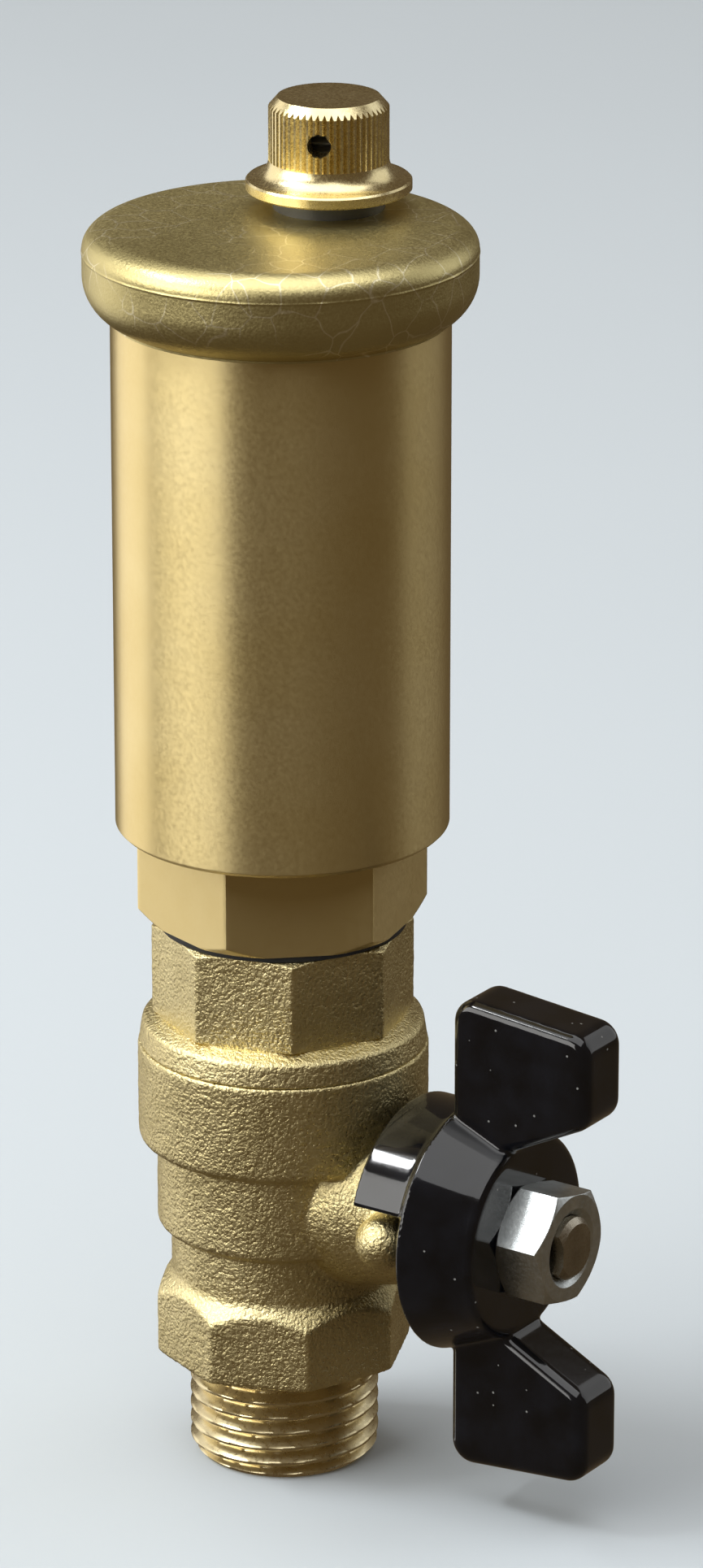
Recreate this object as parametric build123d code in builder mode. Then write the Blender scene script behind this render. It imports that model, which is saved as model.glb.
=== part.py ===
from build123d import *
import os
from math import acos, asin, cos, degrees, pi, radians, sin

# Automatic air vent: a brass float vent that stands on a small ball valve.
# Millimetres. The origin is on the pipe axis at the shoulder above the inlet thread.
# +Z runs up the vent, and +X runs out along the ball valve's stem to its handle.

# Fits between pieces
running_gap = 0.05
static_gap = 0.02
moving_gap = 0.3
seal_gap = 0.02

# Inlet thread, G 1/2
pipe_thread_radius = 10.4775
pipe_thread_pitch = 1.814
pipe_thread_depth = 1.16
pipe_thread_crest = 0.36
inlet_thread_length = 12.3
inlet_bore_radius = 7.5
thread_end_chamfer = 1.0

# Valve body, a casting
octagon_corner_radius = 14.3
octagon_side_height = 7.0
octagon_shoulder_height = 2.3
neck_radius = 12.43
neck_height = 6.0
ball_section_radius = 13.93
ball_section_height = 10.1
ball_section_rounding = 0.8
collar_radius = 15.95
collar_height = 11.2
collar_rounding = 1.3

# Ball and its seats
ball_radius = 9.0
port_radius = 5.0
ball_room = 0.4
throat_room = 0.5
throat_depth = 2.6
shank_floor_height = 6.1
seat_width = 3.3
seat_rise = 4.0
seat_floor_room = 0.2
tang_slot_width = 3.0
tang_slot_floor = 1.3

# End adapter that screws into the collar
shank_wall = 1.95
oring_section = 1.2
adapter_flange_height = 2.6
adapter_flange_taper = 0.55
adapter_cone_height = 0.9
adapter_octagon_corner_radius = 14.4
adapter_octagon_height = 10.3
adapter_octagon_turn = -6.5
adapter_edge_chamfer = 0.8
adapter_web = 1.9
adapter_socket_room = 1.2
adapter_neck_inset = 0.9

# Stem, its seals and the boss it turns in
stem_radius = 3.95
stem_flange_radius = 5.2
stem_flange_thickness = 1.4
washer_thickness = 0.35
stem_end_radius = 3.5
stem_flat_half_width = 2.7
stem_tip_past_nut = 0.7
tang_half_length = 3.6
stem_tip_chamfer = 0.6
stem_first_seal = 2.2
stem_oring_section = 1.1
stem_oring_spacing = 3.0
boss_root_radius = 9.8
boss_end_radius = 7.4
boss_overlap = 5.0

# Handle
handle_gap = 1.4
skirt_depth = 6.1
skirt_radius = 13.0
skirt_wall = 2.4
bell_radius = 14.2
bell_flare = 0.9
bell_front_radius = 11.5
bell_front_rounding = 0.9
hub_length = 8.4
hub_web = 5.4
hub_web_margin = 2.5
wing_tip_height = 27.4
wing_outer_height = 25.9
wing_mouth_height = 15.8
wing_notch_height = 10.6
wing_root_height = 6.0
wing_overhang = 9.8
wing_setback = 0.85
wing_thickness = 7.4
wing_edge_rounding = 1.3
wing_corner_rounding = 2.6
lug_radius = 3.05
lug_reach = 13.0
lug_stop_gap = 0.6
handle_turn = 90.0

# Handle nut
nut_half_flats = 5.95
nut_height = 5.8
nut_chamfer = 0.8
nut_countersink = 0.5

# Gasket between adapter and vent
gasket_thickness = 0.75
gasket_outer_radius = 13.7

# Vent body, turned from hexagon bar
vent_thread_radius = 10.3
vent_thread_depth = 1.0
hex_corner_radius = 15.94
hex_height = 10.55
hex_turn = -18.0
hex_bottom_face_radius = 14.3
hex_bottom_chamfer = 1.25
hex_top_chamfer = 0.5
vent_thread_length = 11.0
vent_bore_radius = 7.3
vent_radius = 18.15
vent_wall = 1.55
vent_length = 56.9
vent_edge_chamfer = 0.45
vent_floor = 1.7
cover_thread_length = 6.1
cover_thread_room = 0.2
fine_thread_pitch = 1.0
fine_thread_depth = 0.5
fine_thread_crest = 0.2
vent_bore_flare = 4.0

# Cover, a hot stamping
cover_wall = 2.95
cover_height = 9.9
cover_lower_rounding = 5.0
cover_land = 0.65
cover_upper_rounding_width = 3.0
cover_upper_rounding_height = 2.4
cover_roof = 2.0
cover_seal_section = 1.15

# Nozzle, cap and their seals
nozzle_ring_radius = 6.0
nozzle_ring_height = 1.5
spigot_radius = 4.0
spigot_height = 7.9
spigot_pitch = 1.0
spigot_thread_depth = 0.6
spigot_relief = 0.4
spigot_end_chamfer = 0.5
nozzle_shank_radius = 3.0
nozzle_bore_radius = 0.9
nozzle_nose_radius = 2.0
nozzle_nose_length = 2.8
nozzle_seal_section = 1.05
nozzle_nut_height = 2.0
nozzle_nut_half_flats = 4.0
cap_closing_travel = 0.4
cap_flange_radius = 8.9
cap_flange_height = 1.3
cap_fillet_height = 2.0
cap_knurl_radius = 6.45
cap_knurl_height = 5.8
cap_top_radius = 5.5
cap_top_height = 1.1
cap_roof = 2.0
knurl_teeth = 54
knurl_depth = 0.45
knurl_groove_share = 0.84
cap_edge_break = 0.2
cap_fillet_share = 0.29
cap_hole_radius = 1.25
cap_hole_height = 6.25
cap_hole_heading = -65.5
cap_washer_thickness = 1.05
cap_washer_width = 2.0

# Float and the lever work under the cover
float_room = 2.0
float_wall = 1.2
float_length = 43.5
float_rounding = 3.0
float_hang_room = 1.6
lever_arm = 3.8
pin_wall_gap = 3.7
shutter_travel = 0.95
lever_pin_radius = 1.0
lever_pin_head_radius = 1.5
lever_pin_head = 0.5
lever_barrel_radius = 1.7
lever_thickness = 0.8
lever_half_width = 1.8
lever_tongue_half_width = 1.0
lever_tongue_reach = 2.6
lever_shoulder = 1.5
lever_shoulder_slope = 0.8
bracket_plate = 0.8
bracket_plate_margin = 2.2
ear_half_spread = 4.7
ear_thickness = 0.7
ear_half_width = 1.8
hook_half_depth = 1.5
hook_half_width = 2.6
hook_window_half_width = 1.4
hook_window_half_height = 1.2
hook_bridge = 1.0
hook_base_radius = 4.0
hook_base_thickness = 1.2
hook_peg_radius = 2.0
shutter_wall = 0.95
shutter_floor = 0.75
shutter_flange_radius = 4.2
shutter_cup_height = 4.0
shutter_pip_radius = 1.0
shutter_pip_length = 1.4
shutter_pip_chamfer = 0.3
shutter_window_margin = 0.9
shutter_seal_thickness = 0.7
shutter_window_width = 1.6
lever_contact_gap = 0.25
spring_wire_radius = 0.25
spring_turns = 4
spring_room = 0.35

# Heights of the valve, from the shoulder above the inlet thread
neck_bottom = octagon_side_height + octagon_shoulder_height
ball_section_bottom = neck_bottom + neck_height
collar_bottom = ball_section_bottom + ball_section_height
collar_top = collar_bottom + collar_height
stem_height = (ball_section_bottom + collar_bottom) / 2
stem_axis = Axis((0, 0, stem_height), (1, 0, 0))

# Room for the ball and its seats
cavity_radius = ball_radius + ball_room
seat_inner_radius = port_radius + moving_gap
seat_outer_radius = seat_inner_radius + seat_width
seat_pocket_radius = seat_outer_radius + static_gap
seat_floor_drop = ball_radius + seat_floor_room
throat_radius = port_radius + throat_room
shank_radius = cavity_radius + shank_wall
shank_bore_radius = shank_radius + running_gap
shank_floor = stem_height + shank_floor_height
shank_bottom = shank_floor + oring_section

# Heights of the adapter and the vent
adapter_cone_bottom = collar_top + adapter_flange_height
adapter_octagon_bottom = adapter_cone_bottom + adapter_cone_height
adapter_top = adapter_octagon_bottom + adapter_octagon_height
hex_bottom = adapter_top + gasket_thickness
hex_top = hex_bottom + hex_height
vent_top = hex_top + vent_length + cover_thread_length
cover_bottom = hex_top + vent_length + cover_thread_room
cover_top = cover_bottom + cover_height
vent_inner_radius = vent_radius - vent_wall
cover_bore_radius = vent_radius + running_gap
cover_radius = cover_bore_radius + cover_wall
chamber_floor = hex_top + vent_floor
roof_height = cover_top - cover_roof

# Places along the stem
skirt_back = collar_radius + handle_gap
bell_back = skirt_back + skirt_depth
hub_front = bell_back + hub_length
hub_web_back = hub_front - hub_web
boss_end = skirt_back + boss_overlap
flange_inner = cavity_radius + running_gap
flange_outer = flange_inner + stem_flange_thickness
washer_outer = flange_outer + washer_thickness + 2 * running_gap

# Places under the cover, measured in from the chamber's wall
pin_offset = vent_inner_radius - pin_wall_gap
nozzle_offset = pin_offset - lever_arm
float_radius = vent_inner_radius - float_room
plate_bottom = roof_height - bracket_plate
nozzle_nut_bottom = plate_bottom - nozzle_nut_height
nose_end = nozzle_nut_bottom - nozzle_nose_length
seal_top = nose_end - shutter_travel - running_gap
shutter_floor_top = seal_top - shutter_seal_thickness
shutter_bottom = shutter_floor_top - shutter_floor
pip_bottom = shutter_bottom - shutter_pip_length
lever_height = pip_bottom - lever_contact_gap - lever_thickness / 2
hook_top = lever_height + hook_window_half_height + hook_bridge
float_travel = shutter_travel * pin_offset / lever_arm
float_top = lever_height - max(lever_barrel_radius, ear_half_width) - float_travel - float_hang_room
float_bottom = float_top - float_length

# Places on the cap
ring_top = cover_top + nozzle_ring_height
cap_bottom = ring_top + cap_closing_travel
knurl_bottom = cap_bottom + cap_flange_height + cap_fillet_height
knurl_top = knurl_bottom + cap_knurl_height
cap_top = knurl_top + cap_top_height
nozzle_point = (0, nozzle_offset)


def draw_thread_grooves(crest_radius, depth, pitch, crest, bottom, top):
    """Draws the V-shaped grooves of a thread as rings, one each pitch, to revolve about Z."""
    turns = int((top - bottom) / pitch)
    margin = (top - bottom - turns * pitch) / 2
    half_width = (pitch - crest) / 2
    outside = 0.2
    spread = half_width * (depth + outside) / depth
    for turn in range(turns):
        middle = bottom + margin + (turn + 0.5) * pitch
        Polygon(
            (crest_radius - depth, middle),
            (crest_radius + outside, middle - spread),
            (crest_radius + outside, middle + spread),
            align=None,
        )


def draw_profile(*points):
    """Draws a closed outline in the sketch in hand, with its points where they are given."""
    Polygon(*points, align=None)


def save(piece, name):
    """Names a finished piece and writes it as its own STEP file."""
    piece.part.label = name
    export_step(piece.part, f"parts/{name}.step")


os.makedirs("parts", exist_ok=True)

# ---------------------------------------------------------------------------
# Valve body: inlet thread, octagon, neck, ball section and collar in one piece
# ---------------------------------------------------------------------------
with BuildPart() as valve_body:
    with BuildSketch(Plane.XY):
        RegularPolygon(radius=octagon_corner_radius, side_count=8)
    extrude(amount=neck_bottom)
    with BuildSketch(Plane.XZ):
        draw_profile(
            (0, 0),
            (octagon_corner_radius, 0),
            (octagon_corner_radius, octagon_side_height),
            (neck_radius, neck_bottom),
            (0, neck_bottom),
        )
    revolve(axis=Axis.Z, mode=Mode.INTERSECT)
    with BuildSketch(Plane.XZ):
        draw_profile(
            (0, neck_bottom - 1),
            (neck_radius, neck_bottom - 1),
            (neck_radius, ball_section_bottom),
            (ball_section_radius, ball_section_bottom),
            (ball_section_radius, collar_bottom),
            (collar_radius, collar_bottom),
            (collar_radius, collar_top),
            (0, collar_top),
        )
    revolve(axis=Axis.Z)
    rims = valve_body.edges().filter_by(GeomType.CIRCLE)
    ball_section_rim = rims.filter_by(
        lambda rim: abs(rim.radius - ball_section_radius) < 0.001
        and abs(rim.center().Z - ball_section_bottom) < 0.001
    )
    fillet(ball_section_rim, radius=ball_section_rounding)
    rims = valve_body.edges().filter_by(GeomType.CIRCLE)
    collar_rim = rims.filter_by(
        lambda rim: abs(rim.radius - collar_radius) < 0.001
        and abs(rim.center().Z - collar_bottom) < 0.001
    )
    fillet(collar_rim, radius=collar_rounding)
    # Conical boss for the stem
    with BuildSketch(Plane.XZ):
        draw_profile(
            (cavity_radius, stem_height),
            (cavity_radius, stem_height + boss_root_radius),
            (ball_section_radius - 1, stem_height + boss_root_radius),
            (boss_end, stem_height + boss_end_radius),
            (boss_end, stem_height),
        )
    revolve(axis=stem_axis)
    # Stop lug, a short domed peg on the side of the boss
    lug_place = (skirt_back + bell_back) / 2 - lug_stop_gap
    with BuildSketch(Plane.XY.offset(stem_height)):
        with BuildLine():
            lug_shoulder = lug_radius - lug_reach
            Line((lug_place, -boss_end_radius / 2), (lug_place, -lug_reach))
            CenterArc((lug_place, lug_shoulder), lug_radius, -90, 90)
            Line((lug_place + lug_radius, lug_shoulder), (lug_place + lug_radius, -boss_end_radius / 2))
            Line((lug_place + lug_radius, -boss_end_radius / 2), (lug_place, -boss_end_radius / 2))
        make_face()
    revolve(axis=Axis((lug_place, 0, stem_height), (0, 1, 0)))
    # Inlet thread
    with BuildSketch(Plane.XZ):
        draw_profile(
            (0, 1),
            (pipe_thread_radius, 1),
            (pipe_thread_radius, thread_end_chamfer - inlet_thread_length),
            (pipe_thread_radius - thread_end_chamfer, -inlet_thread_length),
            (0, -inlet_thread_length),
        )
    revolve(axis=Axis.Z)
    with BuildSketch(Plane.XZ):
        draw_thread_grooves(
            pipe_thread_radius,
            pipe_thread_depth,
            pipe_thread_pitch,
            pipe_thread_crest,
            thread_end_chamfer - inlet_thread_length + pipe_thread_crest,
            -pipe_thread_crest,
        )
    revolve(axis=Axis.Z, mode=Mode.SUBTRACT)
    # Waterway, seat pocket, room for the ball and the bore for the adapter
    with BuildSketch(Plane.XZ):
        seat_floor = stem_height - seat_floor_drop
        throat_bottom = seat_floor - throat_depth
        draw_profile(
            (0, -inlet_thread_length - 1),
            (inlet_bore_radius, -inlet_thread_length - 1),
            (inlet_bore_radius, throat_bottom - (inlet_bore_radius - throat_radius)),
            (throat_radius, throat_bottom),
            (throat_radius, seat_floor),
            (seat_pocket_radius, seat_floor),
            (seat_pocket_radius, seat_floor + seat_rise + static_gap),
            (cavity_radius, seat_floor + seat_rise + static_gap),
            (cavity_radius, shank_floor),
            (shank_bore_radius, shank_floor),
            (shank_bore_radius, collar_top + 1),
            (0, collar_top + 1),
        )
    revolve(axis=Axis.Z, mode=Mode.SUBTRACT)
    # Stem bore with the pocket for its flange and thrust washer
    with BuildSketch(Plane.XZ):
        draw_profile(
            (0, stem_height),
            (0, stem_height + stem_flange_radius + 2 * running_gap),
            (washer_outer, stem_height + stem_flange_radius + 2 * running_gap),
            (washer_outer, stem_height + stem_radius + running_gap),
            (boss_end + 1, stem_height + stem_radius + running_gap),
            (boss_end + 1, stem_height),
        )
    revolve(axis=stem_axis, mode=Mode.SUBTRACT)
save(valve_body, "valve_body")

# ---------------------------------------------------------------------------
# Ball with its port and the slot for the stem's tang
# ---------------------------------------------------------------------------
with BuildPart() as valve_ball:
    with Locations((0, 0, stem_height)):
        Sphere(radius=ball_radius)
        Cylinder(radius=port_radius, height=3 * ball_radius, mode=Mode.SUBTRACT)
    slot_floor = port_radius + tang_slot_floor
    with Locations((slot_floor, 0, stem_height)):
        Box(
            ball_radius,
            3 * ball_radius,
            tang_slot_width,
            align=(Align.MIN, Align.CENTER, Align.CENTER),
            mode=Mode.SUBTRACT,
        )
save(valve_ball, "valve_ball")

# ---------------------------------------------------------------------------
# Seat rings below and above the ball, each hollowed to the ball's curve
# ---------------------------------------------------------------------------
with BuildPart() as lower_seat_ring:
    with BuildSketch(Plane.XY.offset(stem_height - seat_floor_drop + static_gap)):
        Circle(seat_outer_radius)
        Circle(seat_inner_radius, mode=Mode.SUBTRACT)
    extrude(amount=seat_rise - static_gap)
    with Locations((0, 0, stem_height)):
        Sphere(radius=ball_radius + running_gap, mode=Mode.SUBTRACT)
save(lower_seat_ring, "lower_seat_ring")

with BuildPart() as upper_seat_ring:
    with BuildSketch(Plane.XY.offset(stem_height + seat_floor_drop - seat_rise)):
        Circle(seat_outer_radius)
        Circle(seat_inner_radius, mode=Mode.SUBTRACT)
    extrude(amount=seat_rise - static_gap)
    with Locations((0, 0, stem_height)):
        Sphere(radius=ball_radius + running_gap, mode=Mode.SUBTRACT)
save(upper_seat_ring, "upper_seat_ring")

# ---------------------------------------------------------------------------
# End adapter: male shank into the collar, octagon, female thread on top
# ---------------------------------------------------------------------------
socket_radius = vent_thread_radius + running_gap
socket_bottom = adapter_top - vent_thread_length - adapter_socket_room
with BuildPart() as end_adapter:
    with BuildSketch(Plane.XY.offset(adapter_octagon_bottom)):
        RegularPolygon(
            radius=adapter_octagon_corner_radius, side_count=8, rotation=adapter_octagon_turn
        )
    extrude(amount=adapter_octagon_height)
    with BuildSketch(Plane.XZ):
        draw_profile(
            (0, adapter_octagon_bottom),
            (adapter_octagon_corner_radius, adapter_octagon_bottom),
            (adapter_octagon_corner_radius, adapter_top - adapter_edge_chamfer / 2),
            (adapter_octagon_corner_radius - adapter_edge_chamfer, adapter_top),
            (0, adapter_top),
        )
    revolve(axis=Axis.Z, mode=Mode.INTERSECT)
    with BuildSketch(Plane.XZ):
        draw_profile(
            (0, shank_bottom),
            (shank_radius, shank_bottom),
            (shank_radius, collar_top),
            (collar_radius, collar_top),
            (collar_radius - adapter_flange_taper, adapter_cone_bottom),
            (adapter_octagon_corner_radius - adapter_neck_inset, adapter_octagon_bottom),
            (0, adapter_octagon_bottom),
        )
    revolve(axis=Axis.Z)
    with BuildSketch(Plane.XZ):
        draw_thread_grooves(
            shank_radius,
            fine_thread_depth,
            fine_thread_pitch,
            fine_thread_crest,
            shank_bottom + fine_thread_pitch / 2,
            collar_top - fine_thread_pitch,
        )
    revolve(axis=Axis.Z, mode=Mode.SUBTRACT)
    with BuildSketch(Plane.XZ):
        pocket_top = stem_height + seat_floor_drop
        web_top = pocket_top + adapter_web
        draw_profile(
            (0, shank_bottom - 1),
            (seat_pocket_radius, shank_bottom - 1),
            (seat_pocket_radius, pocket_top),
            (throat_radius, pocket_top),
            (throat_radius, web_top),
            (socket_radius - adapter_socket_room, socket_bottom),
            (socket_radius, socket_bottom),
            (socket_radius, adapter_top + 1),
            (0, adapter_top + 1),
        )
    revolve(axis=Axis.Z, mode=Mode.SUBTRACT)
save(end_adapter, "end_adapter")

# O-ring under the adapter's shank
with BuildPart() as adapter_seal:
    with BuildSketch(Plane.XZ):
        with Locations((shank_radius - oring_section / 2 - seal_gap, shank_floor + oring_section / 2)):
            Circle(oring_section / 2 - seal_gap)
    revolve(axis=Axis.Z)
save(adapter_seal, "adapter_seal")

# ---------------------------------------------------------------------------
# Stem with tang, flange, two seal grooves and a flatted, threaded end
# ---------------------------------------------------------------------------
seal_first = washer_outer + stem_first_seal
seal_places = [seal_first, seal_first + stem_oring_spacing]
stem_seal_radius = stem_radius + running_gap - stem_oring_section / 2
stem_tip = hub_front + nut_height + stem_tip_past_nut
with BuildPart() as valve_stem:
    with BuildSketch(Plane.XZ):
        draw_profile(
            (flange_inner, stem_height),
            (flange_inner, stem_height + stem_flange_radius),
            (flange_outer, stem_height + stem_flange_radius),
            (flange_outer, stem_height + stem_radius),
            (hub_web_back, stem_height + stem_radius),
            (hub_web_back, stem_height + stem_end_radius),
            (stem_tip - stem_tip_chamfer, stem_height + stem_end_radius),
            (stem_tip, stem_height + stem_end_radius - stem_tip_chamfer),
            (stem_tip, stem_height),
        )
    revolve(axis=stem_axis)
    with BuildSketch(Plane.XZ):
        groove_floor = stem_seal_radius - stem_oring_section / 2
        for place in seal_places:
            draw_profile(
                (place - stem_oring_section * 0.6, stem_height + groove_floor),
                (place - stem_oring_section * 0.6, stem_height + stem_radius + 1),
                (place + stem_oring_section * 0.6, stem_height + stem_radius + 1),
                (place + stem_oring_section * 0.6, stem_height + groove_floor),
            )
    revolve(axis=stem_axis, mode=Mode.SUBTRACT)
    for side in (-1, 1):
        with Locations((hub_web_back, side * stem_flat_half_width, stem_height)):
            Box(
                hub_web + nut_height + 5,
                stem_radius,
                3 * stem_radius,
                align=(Align.MIN, Align.MIN if side > 0 else Align.MAX, Align.CENTER),
                mode=Mode.SUBTRACT,
            )
    with Locations((slot_floor + static_gap, 0, stem_height)):
        Box(
            flange_inner - slot_floor,
            2 * tang_half_length,
            tang_slot_width - 4 * running_gap,
            align=(Align.MIN, Align.CENTER, Align.CENTER),
        )
save(valve_stem, "valve_stem")

with BuildPart() as stem_orings:
    with BuildSketch(Plane.XZ):
        for place in seal_places:
            with Locations((place, stem_height + stem_seal_radius)):
                Circle(stem_oring_section / 2 - seal_gap)
    revolve(axis=stem_axis)
save(stem_orings, "stem_orings")

with BuildPart() as stem_thrust_washer:
    with BuildSketch(Plane.YZ.offset(flange_outer + running_gap)):
        with Locations((0, stem_height)):
            Circle(stem_flange_radius)
            Circle(stem_radius + running_gap, mode=Mode.SUBTRACT)
    extrude(amount=washer_thickness)
save(stem_thrust_washer, "stem_thrust_washer")

# ---------------------------------------------------------------------------
# Butterfly handle: bell-shaped hub with a stop skirt, and two flared wings
# ---------------------------------------------------------------------------
skirt_bore_radius = skirt_radius - skirt_wall
lug_half_angle = degrees(asin((lug_radius + lug_stop_gap) / skirt_bore_radius))
notch_from = 180 - lug_half_angle
notch_to = 180 + lug_half_angle + handle_turn
wing_front = hub_front + wing_overhang
wing_back = bell_back + wing_setback
with BuildPart() as valve_handle:
    with BuildSketch(Plane.XZ) as wing_faces:
        for side in (-1, 1):
            draw_profile(
                (wing_back, stem_height + side * wing_root_height),
                (wing_back, stem_height + side * wing_tip_height),
                (wing_front, stem_height + side * wing_outer_height),
                (wing_front, stem_height + side * wing_mouth_height),
                (hub_front - bell_front_rounding / 2, stem_height + side * wing_notch_height),
                (hub_front - 2 * bell_front_rounding, stem_height + side * wing_root_height),
            )
        tips = wing_faces.vertices().filter_by(
            lambda corner: abs(corner.Z - stem_height) > wing_mouth_height - moving_gap
        )
        fillet(tips, radius=wing_corner_rounding)
    extrude(amount=wing_thickness / 2, both=True)
    wing_sides = valve_handle.faces().filter_by(Axis.Y)
    fillet(wing_sides.edges(), radius=wing_edge_rounding)
    # Bell of the hub, with a flat front for the nut
    with BuildSketch(Plane.XZ):
        with BuildLine():
            bell_edge = bell_back + bell_flare
            bell_front = hub_front - bell_front_rounding
            front_flat = stem_height + bell_front_radius - bell_front_rounding
            Line((bell_back, stem_height), (bell_back, stem_height + skirt_radius))
            Line((bell_back, stem_height + skirt_radius), (bell_edge, stem_height + bell_radius))
            Line((bell_edge, stem_height + bell_radius), (bell_front, stem_height + bell_front_radius))
            CenterArc((bell_front, front_flat), bell_front_rounding, 0, 90)
            Line((hub_front, front_flat), (hub_front, stem_height))
            Line((hub_front, stem_height), (bell_back, stem_height))
        make_face()
    revolve(axis=stem_axis)
    with BuildSketch(Plane.XZ):
        draw_profile(
            (bell_back - 1, stem_height),
            (bell_back - 1, stem_height + skirt_bore_radius),
            (bell_back, stem_height + skirt_bore_radius),
            (hub_web_back, stem_height + stem_radius + hub_web_margin),
            (hub_web_back, stem_height),
        )
    revolve(axis=stem_axis, mode=Mode.SUBTRACT)
    # Skirt round the boss, open between the two stops
    with BuildSketch(Plane.YZ.offset(skirt_back)):
        with Locations((0, stem_height)):
            Circle(skirt_radius)
            Circle(skirt_bore_radius, mode=Mode.SUBTRACT)
        far = 2 * skirt_radius
        notch_steps = [notch_from + (notch_to - notch_from) * step / 3 for step in range(4)]
        notch_points = [
            (far * cos(radians(angle)), stem_height + far * sin(radians(angle)))
            for angle in notch_steps
        ]
        Polygon((0, stem_height), *notch_points, align=None, mode=Mode.SUBTRACT)
    extrude(amount=skirt_depth)
    # Flatted hole for the stem
    with BuildSketch(Plane.YZ.offset(hub_web_back - 1)):
        with Locations((0, stem_height)):
            Circle(stem_end_radius + running_gap)
            Rectangle(
                2 * (stem_flat_half_width + running_gap), 3 * stem_radius, mode=Mode.INTERSECT
            )
    extrude(amount=hub_web + 2, mode=Mode.SUBTRACT)
save(valve_handle, "valve_handle")

# Hexagon nut on the stem
with BuildPart() as handle_nut:
    with BuildSketch(Plane.YZ.offset(hub_front)):
        with Locations((0, stem_height)):
            RegularPolygon(radius=nut_half_flats, side_count=6, major_radius=False)
            Circle(stem_end_radius + static_gap, mode=Mode.SUBTRACT)
    extrude(amount=nut_height)
    with BuildSketch(Plane.XZ):
        nut_corner = nut_half_flats / cos(radians(30))
        draw_profile(
            (hub_front, stem_height),
            (hub_front, stem_height + nut_corner - nut_chamfer),
            (hub_front + nut_chamfer * 0.6, stem_height + nut_corner),
            (hub_front + nut_height - nut_chamfer * 0.6, stem_height + nut_corner),
            (hub_front + nut_height, stem_height + nut_corner - nut_chamfer),
            (hub_front + nut_height, stem_height + stem_end_radius + nut_countersink),
            (hub_front + nut_height - nut_countersink, stem_height + stem_end_radius),
            (hub_front + nut_height - nut_countersink, stem_height),
        )
    revolve(axis=stem_axis, mode=Mode.INTERSECT)
save(handle_nut, "handle_nut")

# ---------------------------------------------------------------------------
# Gasket, vent body and the seal under the cover
# ---------------------------------------------------------------------------
with BuildPart() as joint_gasket:
    with BuildSketch(Plane.XY.offset(adapter_top)):
        Circle(gasket_outer_radius)
        Circle(vent_thread_radius + moving_gap, mode=Mode.SUBTRACT)
    extrude(amount=gasket_thickness)
save(joint_gasket, "joint_gasket")

with BuildPart() as vent_body:
    with BuildSketch(Plane.XY.offset(hex_bottom)):
        RegularPolygon(radius=hex_corner_radius, side_count=6, rotation=hex_turn)
    extrude(amount=hex_height)
    with BuildSketch(Plane.XZ):
        draw_profile(
            (0, hex_bottom),
            (hex_bottom_face_radius, hex_bottom),
            (hex_corner_radius, hex_bottom + hex_bottom_chamfer),
            (hex_corner_radius, hex_top - hex_top_chamfer),
            (hex_corner_radius - hex_top_chamfer, hex_top),
            (0, hex_top),
        )
    revolve(axis=Axis.Z, mode=Mode.INTERSECT)
    with BuildSketch(Plane.XZ):
        draw_profile(
            (0, hex_top),
            (vent_radius - vent_edge_chamfer, hex_top),
            (vent_radius, hex_top + vent_edge_chamfer),
            (vent_radius, vent_top - vent_edge_chamfer),
            (vent_radius - vent_edge_chamfer, vent_top),
            (0, vent_top),
        )
    revolve(axis=Axis.Z)
    with BuildSketch(Plane.XZ):
        thread_bottom = hex_bottom - vent_thread_length
        draw_profile(
            (0, hex_bottom),
            (vent_thread_radius, hex_bottom),
            (vent_thread_radius, thread_bottom + thread_end_chamfer),
            (vent_thread_radius - thread_end_chamfer, thread_bottom),
            (0, thread_bottom),
        )
    revolve(axis=Axis.Z)
    with BuildSketch(Plane.XZ):
        draw_thread_grooves(
            vent_thread_radius,
            vent_thread_depth,
            pipe_thread_pitch,
            pipe_thread_crest,
            thread_bottom + thread_end_chamfer,
            adapter_top - thread_end_chamfer,
        )
        draw_thread_grooves(
            vent_radius,
            fine_thread_depth,
            fine_thread_pitch,
            fine_thread_crest,
            vent_top - cover_thread_length + fine_thread_pitch,
            vent_top - vent_edge_chamfer,
        )
    revolve(axis=Axis.Z, mode=Mode.SUBTRACT)
    with BuildSketch(Plane.XZ):
        draw_profile(
            (0, thread_bottom - 1),
            (vent_bore_radius, thread_bottom - 1),
            (vent_bore_radius, hex_top - 1),
            (vent_bore_radius + vent_bore_flare, chamber_floor),
            (vent_inner_radius, chamber_floor),
            (vent_inner_radius, vent_top + 1),
            (0, vent_top + 1),
        )
    revolve(axis=Axis.Z, mode=Mode.SUBTRACT)
save(vent_body, "vent_body")

with BuildPart() as cover_seal:
    with BuildSketch(Plane.XZ):
        with Locations((vent_radius - cover_seal_section / 2, vent_top + cover_seal_section / 2)):
            Circle(cover_seal_section / 2 - seal_gap)
    revolve(axis=Axis.Z)
save(cover_seal, "cover_seal")

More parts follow.
